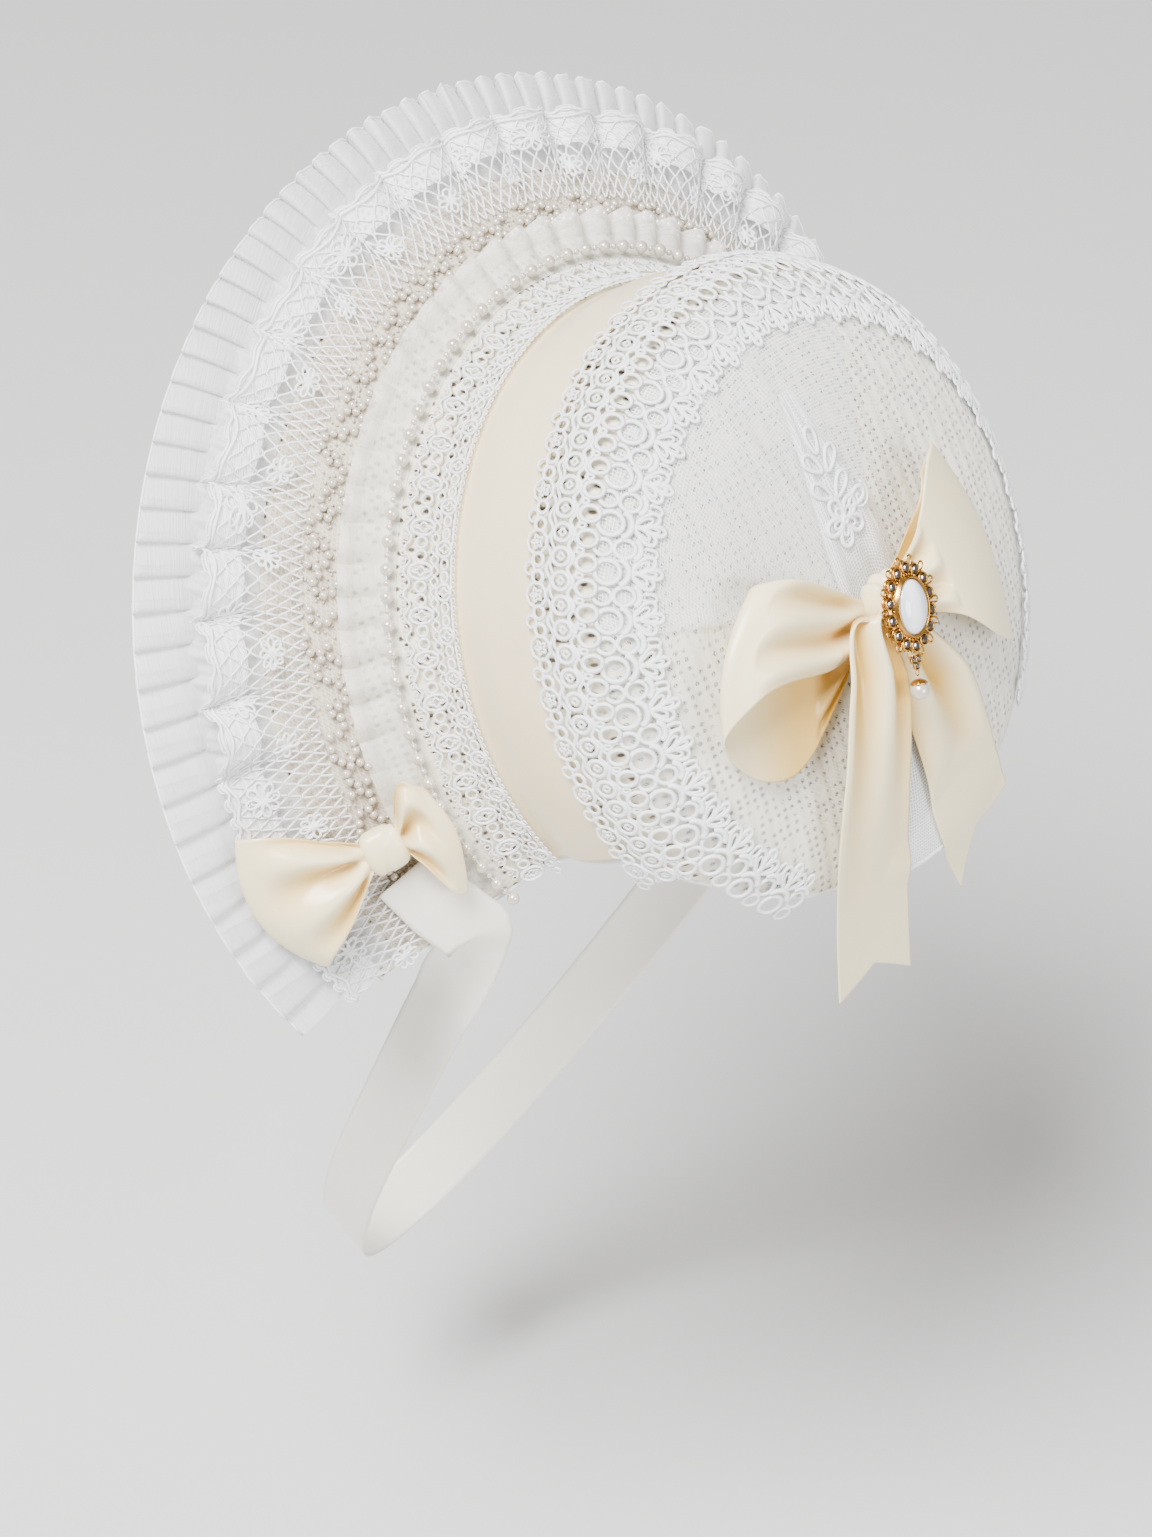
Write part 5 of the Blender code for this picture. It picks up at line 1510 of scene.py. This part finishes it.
class HALFBONNET_OT_brooch(bpy.types.Operator):
    """Set the brooch: sunburst setting, cat's-eye cabochon, rhinestones and a pearl drop"""
    bl_idname = "half_bonnet.brooch"
    bl_label = "Brooch"

    def execute(self, context):
        gold = finish("gold_electroplate")
        turned_piece("setting_plate", oval_shell(SETTING_PROFILE, 112, STONE_COUNT), gold, "gold_plate",
                     "brooch_setting")
        turned_piece("cabochon_stone", self.cabochon(), finish("cats_eye"), "cats_eye_glass",
                     "brooch_cabochon")
        self.trim(gold)
        for number in range(1, STONE_COUNT + 1):
            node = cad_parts["rhinestone_%02d" % number]
            node.data.materials.clear()
            node.data.materials.append(finish("cut_glass"))
        self.drop(gold)
        return {"FINISHED"}

    def cabochon(self):
        """A flat foot and a girdle under a dome whose rings shrink as a cosine and rise as a sine."""
        foot = [(POINT, POINT, CABOCHON_FOOT, 0.0),
                (CABOCHON_HALF_WIDE, CABOCHON_HALF_TALL, CABOCHON_FOOT, 0.0)]
        dome = [(CABOCHON_HALF_WIDE * math.cos(t) + POINT, CABOCHON_HALF_TALL * math.cos(t) + POINT,
                 CABOCHON_GIRDLE + CABOCHON_DOME * math.sin(t), 0.0)
                for t in np.linspace(0.0, math.pi / 2.0, 20)]
        return oval_shell(foot + dome, 64)

    def trim(self, gold):
        """Cups round the stones, a leaf between each two, and a rope and beads round the bezel."""
        turn = np.arange(STONE_COUNT) * 2.0 * math.pi / STONE_COUNT
        x, y = STONE_RING[0] * np.sin(turn), STONE_RING[1] * np.cos(turn)
        strokes = [(spread(ring(1.85, 1.85, 16), x, y), 0.32, 0.75, 0.4, True)]
        for angle in turn + math.pi / STONE_COUNT:
            foot = (LEAF_RING[0] * math.sin(angle), LEAF_RING[1] * math.cos(angle))
            outward_turn = math.degrees(math.atan2(foot[0], foot[1] * LEAF_LEAN))
            strokes.append((spread(turned(leaf(3.6, 2.4, 12), outward_turn), *foot), 0.42, 0.40, 0.5, True))
        strokes.append((ring(*BEZEL_ROPE, 64)[None], 0.35, 0.35, 2.5, True))
        stitched("setting_trim", strokes, on_brooch, gold, "gold_plate")
        beads = np.linspace(0.0, 2.0 * math.pi, BEZEL_BEADS, endpoint=False)
        spots = on_brooch(BEAD_OVAL[0] * np.sin(beads), BEAD_OVAL[1] * np.cos(beads),
                          np.full(BEZEL_BEADS, 1.3))
        pearl_piece("setting_beads", spots, BEZEL_BEAD_RADIUS, gold, "gold_plate", rows=6, columns=8)

    def drop(self, gold):
        """Three stones in cups on a link, a ring, a petalled cap and the pearl.

        The cap is a profile turned round the pearl's upright line, scalloped by a cosine.
        """
        strokes = [
            (spread(ring(1.25, 1.25, 14), DROP_STONES_ACROSS, DROP_STONES_UP), 0.35, 0.6, -0.2, True),
            (spread(ring(0.75, 1.0, 12), 0.0, DROP_RING_UP), 0.25, 0.25, 0.2, True),
        ]
        stitched("drop_link_trim", strokes, on_brooch, gold, "gold_plate", "brooch_drop_link")
        spots = on_brooch(DROP_STONES_ACROSS, DROP_STONES_UP, np.full(3, 0.4))
        pearl_piece("drop_link_stones", spots, DROP_STONE_RADIUS, finish("cut_glass"), "rhinestone", rows=4,
                    columns=8)
        turn = np.linspace(0.0, 2.0 * math.pi, 28, endpoint=False)[None, :]
        scalloped = CAP_RADIUS * (1.0 + 0.10 * np.cos(7.0 * turn) * CAP_SCALLOP)
        grid = on_brooch(scalloped * np.sin(turn), PEARL_UP + CAP_HEIGHT + 0.0 * turn,
                         0.4 + scalloped * np.cos(turn))
        turned_piece("drop_cap", grid, gold, "gold_plate")
        middle = on_brooch(np.zeros(1), np.full(1, PEARL_UP), np.full(1, 0.4))
        pearl_piece("drop_pearl", middle, DROP_PEARL_RADIUS, finish("pearl_coating"), "pearl",
                    "brooch_drop_pearl", rows=20, columns=32)


# The chin ribbon hangs as a chain does between the brim's corners, a little to the wearer's left.
CHIN_WIDTH = 0.025
CHIN_LOW = (0.030, -0.112, -0.480)
CHIN_SAG_LENGTH = 0.0455
CHIN_SEWN_RUNS = (0.2215, 0.2200, 0.2185)
CHIN_SEWN_ANGLES = (104.0, 112.0, 120.0)
CHIN_SEWN_LENGTH = 0.040
CHIN_TURN_LENGTH = 0.050
CHIN_FACE = (0.0, 0.83, -0.56)
CHIN_LIFT = 0.0052
CHIN_SAMPLES = 420
CHIN_CUP, CHIN_CUP_PHASE = 0.0009, 37.0       # height of its cupping, and the sine's radians along it


def chin_ribbon_frame(samples):
    """Middle line of the ribbon and the half width across it, from corner to corner.

    The line hangs as a hyperbolic cosine of the way across. Its face turns in straight steps from the
    sewn ends' outward way to the way that the hanging loop faces.
    """
    sewn = shell(CHIN_SEWN_RUNS, CHIN_SEWN_ANGLES, CHIN_LIFT)
    outward = shell(CHIN_SEWN_RUNS, CHIN_SEWN_ANGLES, CHIN_LIFT + 0.001) - sewn
    corner = sewn[-1]
    span = np.linspace(corner[0], -corner[0], 200)
    hang = CHIN_SAG_LENGTH * (np.cosh(span / CHIN_SAG_LENGTH) - 1.0)
    grown = hang / hang[0]
    low_side, low_forward, low_height = CHIN_LOW
    loop = np.column_stack([
        span + low_side * (1.0 - (span / corner[0]) ** 2),
        low_forward + (corner[1] - low_forward) * grown,
        low_height + (corner[2] - low_height) * grown,
    ])
    mirrored = np.array([-1.0, 1.0, 1.0])
    route = np.vstack([sewn[:-1], loop, sewn[-2::-1] * mirrored])
    length = np.concatenate([[0.0], np.cumsum(np.linalg.norm(np.diff(route, axis=0), axis=1))])
    at = np.linspace(0.0, length[-1], samples)
    middle = np.column_stack([np.interp(at, length, route[:, i]) for i in range(3)])
    along = np.gradient(middle, axis=0)
    along /= np.linalg.norm(along, axis=1, keepdims=True)
    hanging_face = np.cross(along, CHIN_FACE)
    hanging_face /= np.linalg.norm(hanging_face, axis=1, keepdims=True)
    sewn_face = outward[1] / np.linalg.norm(outward[1])
    near = np.clip((at - CHIN_SEWN_LENGTH) / CHIN_TURN_LENGTH, 0.0, 1.0)[:, None]
    far = np.clip((length[-1] - CHIN_SEWN_LENGTH - at) / CHIN_TURN_LENGTH, 0.0, 1.0)[:, None]
    face = (near + far - 1.0) * hanging_face + (1.0 - near) * sewn_face + (1.0 - far) * sewn_face * mirrored
    across = np.cross(face, along)
    across *= CHIN_WIDTH / 2.0 / np.linalg.norm(across, axis=1, keepdims=True)
    return middle, across


class HALFBONNET_OT_chin_ribbon(bpy.types.Operator):
    """Hang the satin ribbon under the chin"""
    bl_idname = "half_bonnet.chin_ribbon"
    bl_label = "Chin ribbon"

    def execute(self, context):
        # Across the ribbon the cup is a parabola, and along it its height goes up and down as a sine.
        middle, across = chin_ribbon_frame(CHIN_SAMPLES)
        share = np.linspace(-1.0, 1.0, 15)[None, :, None]
        along = np.linspace(0.0, 1.0, CHIN_SAMPLES)[:, None]
        face = np.cross(across, np.gradient(middle, axis=0))
        face /= np.linalg.norm(face, axis=1, keepdims=True)
        cup = CHIN_CUP * np.sin(along * CHIN_CUP_PHASE)[..., None] * (share ** 2 - 0.4)
        grid = middle[:, None, :] + share * across[:, None, :] + cup * face[:, None, :]
        ribbon_piece("chin_ribbon_satin", grid, "chin_ribbon", None, "polyester_satin_white", "white_satin")
        return {"FINISHED"}


# Stage.

FLOOR_HALF = 6.0
FILL_TINT = (1.0, 0.995, 0.985, 1.0)
# Each lamp's place, width and share of the key light, all of which face the same spot.
LAMPS = {"window": ((1.25, 0.05, 2.15), 1.3, 1.0), "bounce": ((0.2, 2.2, 0.7), 1.2, 0.20)}
LAMP_AIM = (0.0, 0.0, -0.1)


class HALFBONNET_OT_stage(bpy.types.Operator):
    """Set the floor, the lights and the camera"""
    bl_idname = "half_bonnet.stage"
    bl_label = "Stage"

    def execute(self, context):
        stage = context.scene.bonnet_stage
        corners = FLOOR_HALF * np.array([(-1, -1), (1, -1), (1, 1), (-1, 1)])
        points = np.column_stack([corners, np.full(4, stage.floor_height)])
        floor = bpy.data.objects.new("floor", new_mesh("floor", points, np.array([[0, 1, 2, 3]])))
        context.scene.collection.objects.link(floor)
        floor.data.materials.append(finish("matt_paper"))
        world = bpy.data.worlds.new("studio")
        world.use_nodes = True
        fill = world.node_tree.nodes["Background"].inputs
        fill["Color"].default_value = FILL_TINT
        fill["Strength"].default_value = stage.fill_light
        context.scene.world = world
        for name, (place, width, share) in LAMPS.items():
            lamp = bpy.data.lights.new(name, "AREA")
            lamp.shape = "DISK"
            lamp.size = width
            lamp.energy = stage.key_light * share
            lit = bpy.data.objects.new(name, lamp)
            context.scene.collection.objects.link(lit)
            back = np.subtract(place, LAMP_AIM)
            back /= np.linalg.norm(back)
            right = np.cross((0.0, 0.0, 1.0), back)
            right /= np.linalg.norm(right)
            put(lit, right, np.cross(back, right), back, place)
        camera = bpy.data.cameras.new("camera")
        camera.sensor_width = 36.0
        camera.lens = stage.lens
        camera.clip_start = 0.01
        shot = bpy.data.objects.new("camera", camera)
        context.scene.collection.objects.link(shot)
        turn, pitch = stage.azimuth, stage.pitch
        right = np.array([math.cos(turn), math.sin(turn), 0.0])
        back = np.array([math.sin(turn) * math.cos(pitch), -math.cos(turn) * math.cos(pitch),
                         math.sin(pitch)])
        put(shot, right, np.cross(back, right), back, stage.place)
        context.scene.camera = shot
        return {"FINISHED"}


def put(item, right, up, back, place):
    """Turn an object so that its X, Y and Z axes are the three given ones, and place it."""
    columns = [np.append(axis, 0.0) for axis in (right, up, back)]
    item.matrix_world = Matrix(np.column_stack([*columns, np.append(place, 1.0)]).tolist())


class HALFBONNET_PT_sidebar(bpy.types.Panel):
    """The bonnet's sizes, colours and pieces in the 3D view's sidebar"""
    bl_idname = "HALFBONNET_PT_sidebar"
    bl_label = "Half bonnet"
    bl_space_type = "VIEW_3D"
    bl_region_type = "UI"
    bl_category = "Bonnet"

    def draw(self, context):
        """List the sizes, the colours and the stage, then a button for each operator."""
        for group in (context.scene.bonnet_sizes, context.scene.bonnet_colours, context.scene.bonnet_stage):
            box = self.layout.box()
            for name in group.bl_rna.properties.keys():
                if name not in ("rna_type", "name"):
                    box.prop(group, name)
        for operator in OPERATORS:
            self.layout.operator(operator.bl_idname)


GROUPS = {"bonnet_sizes": BonnetSizes, "bonnet_colours": BonnetColours, "bonnet_stage": BonnetStage}
OPERATORS = (
    HALFBONNET_OT_crown, HALFBONNET_OT_satin_band, HALFBONNET_OT_tulle, HALFBONNET_OT_laces,
    HALFBONNET_OT_pearls, HALFBONNET_OT_bead_net, HALFBONNET_OT_frills, HALFBONNET_OT_ruffle,
    HALFBONNET_OT_back_bow, HALFBONNET_OT_side_bows, HALFBONNET_OT_brooch, HALFBONNET_OT_chin_ribbon,
    HALFBONNET_OT_stage,
)


def register():
    """Register the groups, the operators and the panel."""
    for name, group in GROUPS.items():
        bpy.utils.register_class(group)
        setattr(bpy.types.Scene, name, bpy.props.PointerProperty(type=group))
    for made in (*OPERATORS, HALFBONNET_PT_sidebar):
        bpy.utils.register_class(made)


def unregister():
    """Take off again all that register() put on."""
    for made in (HALFBONNET_PT_sidebar, *reversed(OPERATORS)):
        bpy.utils.unregister_class(made)
    for name, group in reversed(GROUPS.items()):
        delattr(bpy.types.Scene, name)
        bpy.utils.unregister_class(group)


def main():
    """Register the classes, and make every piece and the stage."""
    register()
    for operator in OPERATORS:
        getattr(bpy.ops.half_bonnet, operator.bl_idname.split(".")[1])()


if __name__ == "__main__":
    main()
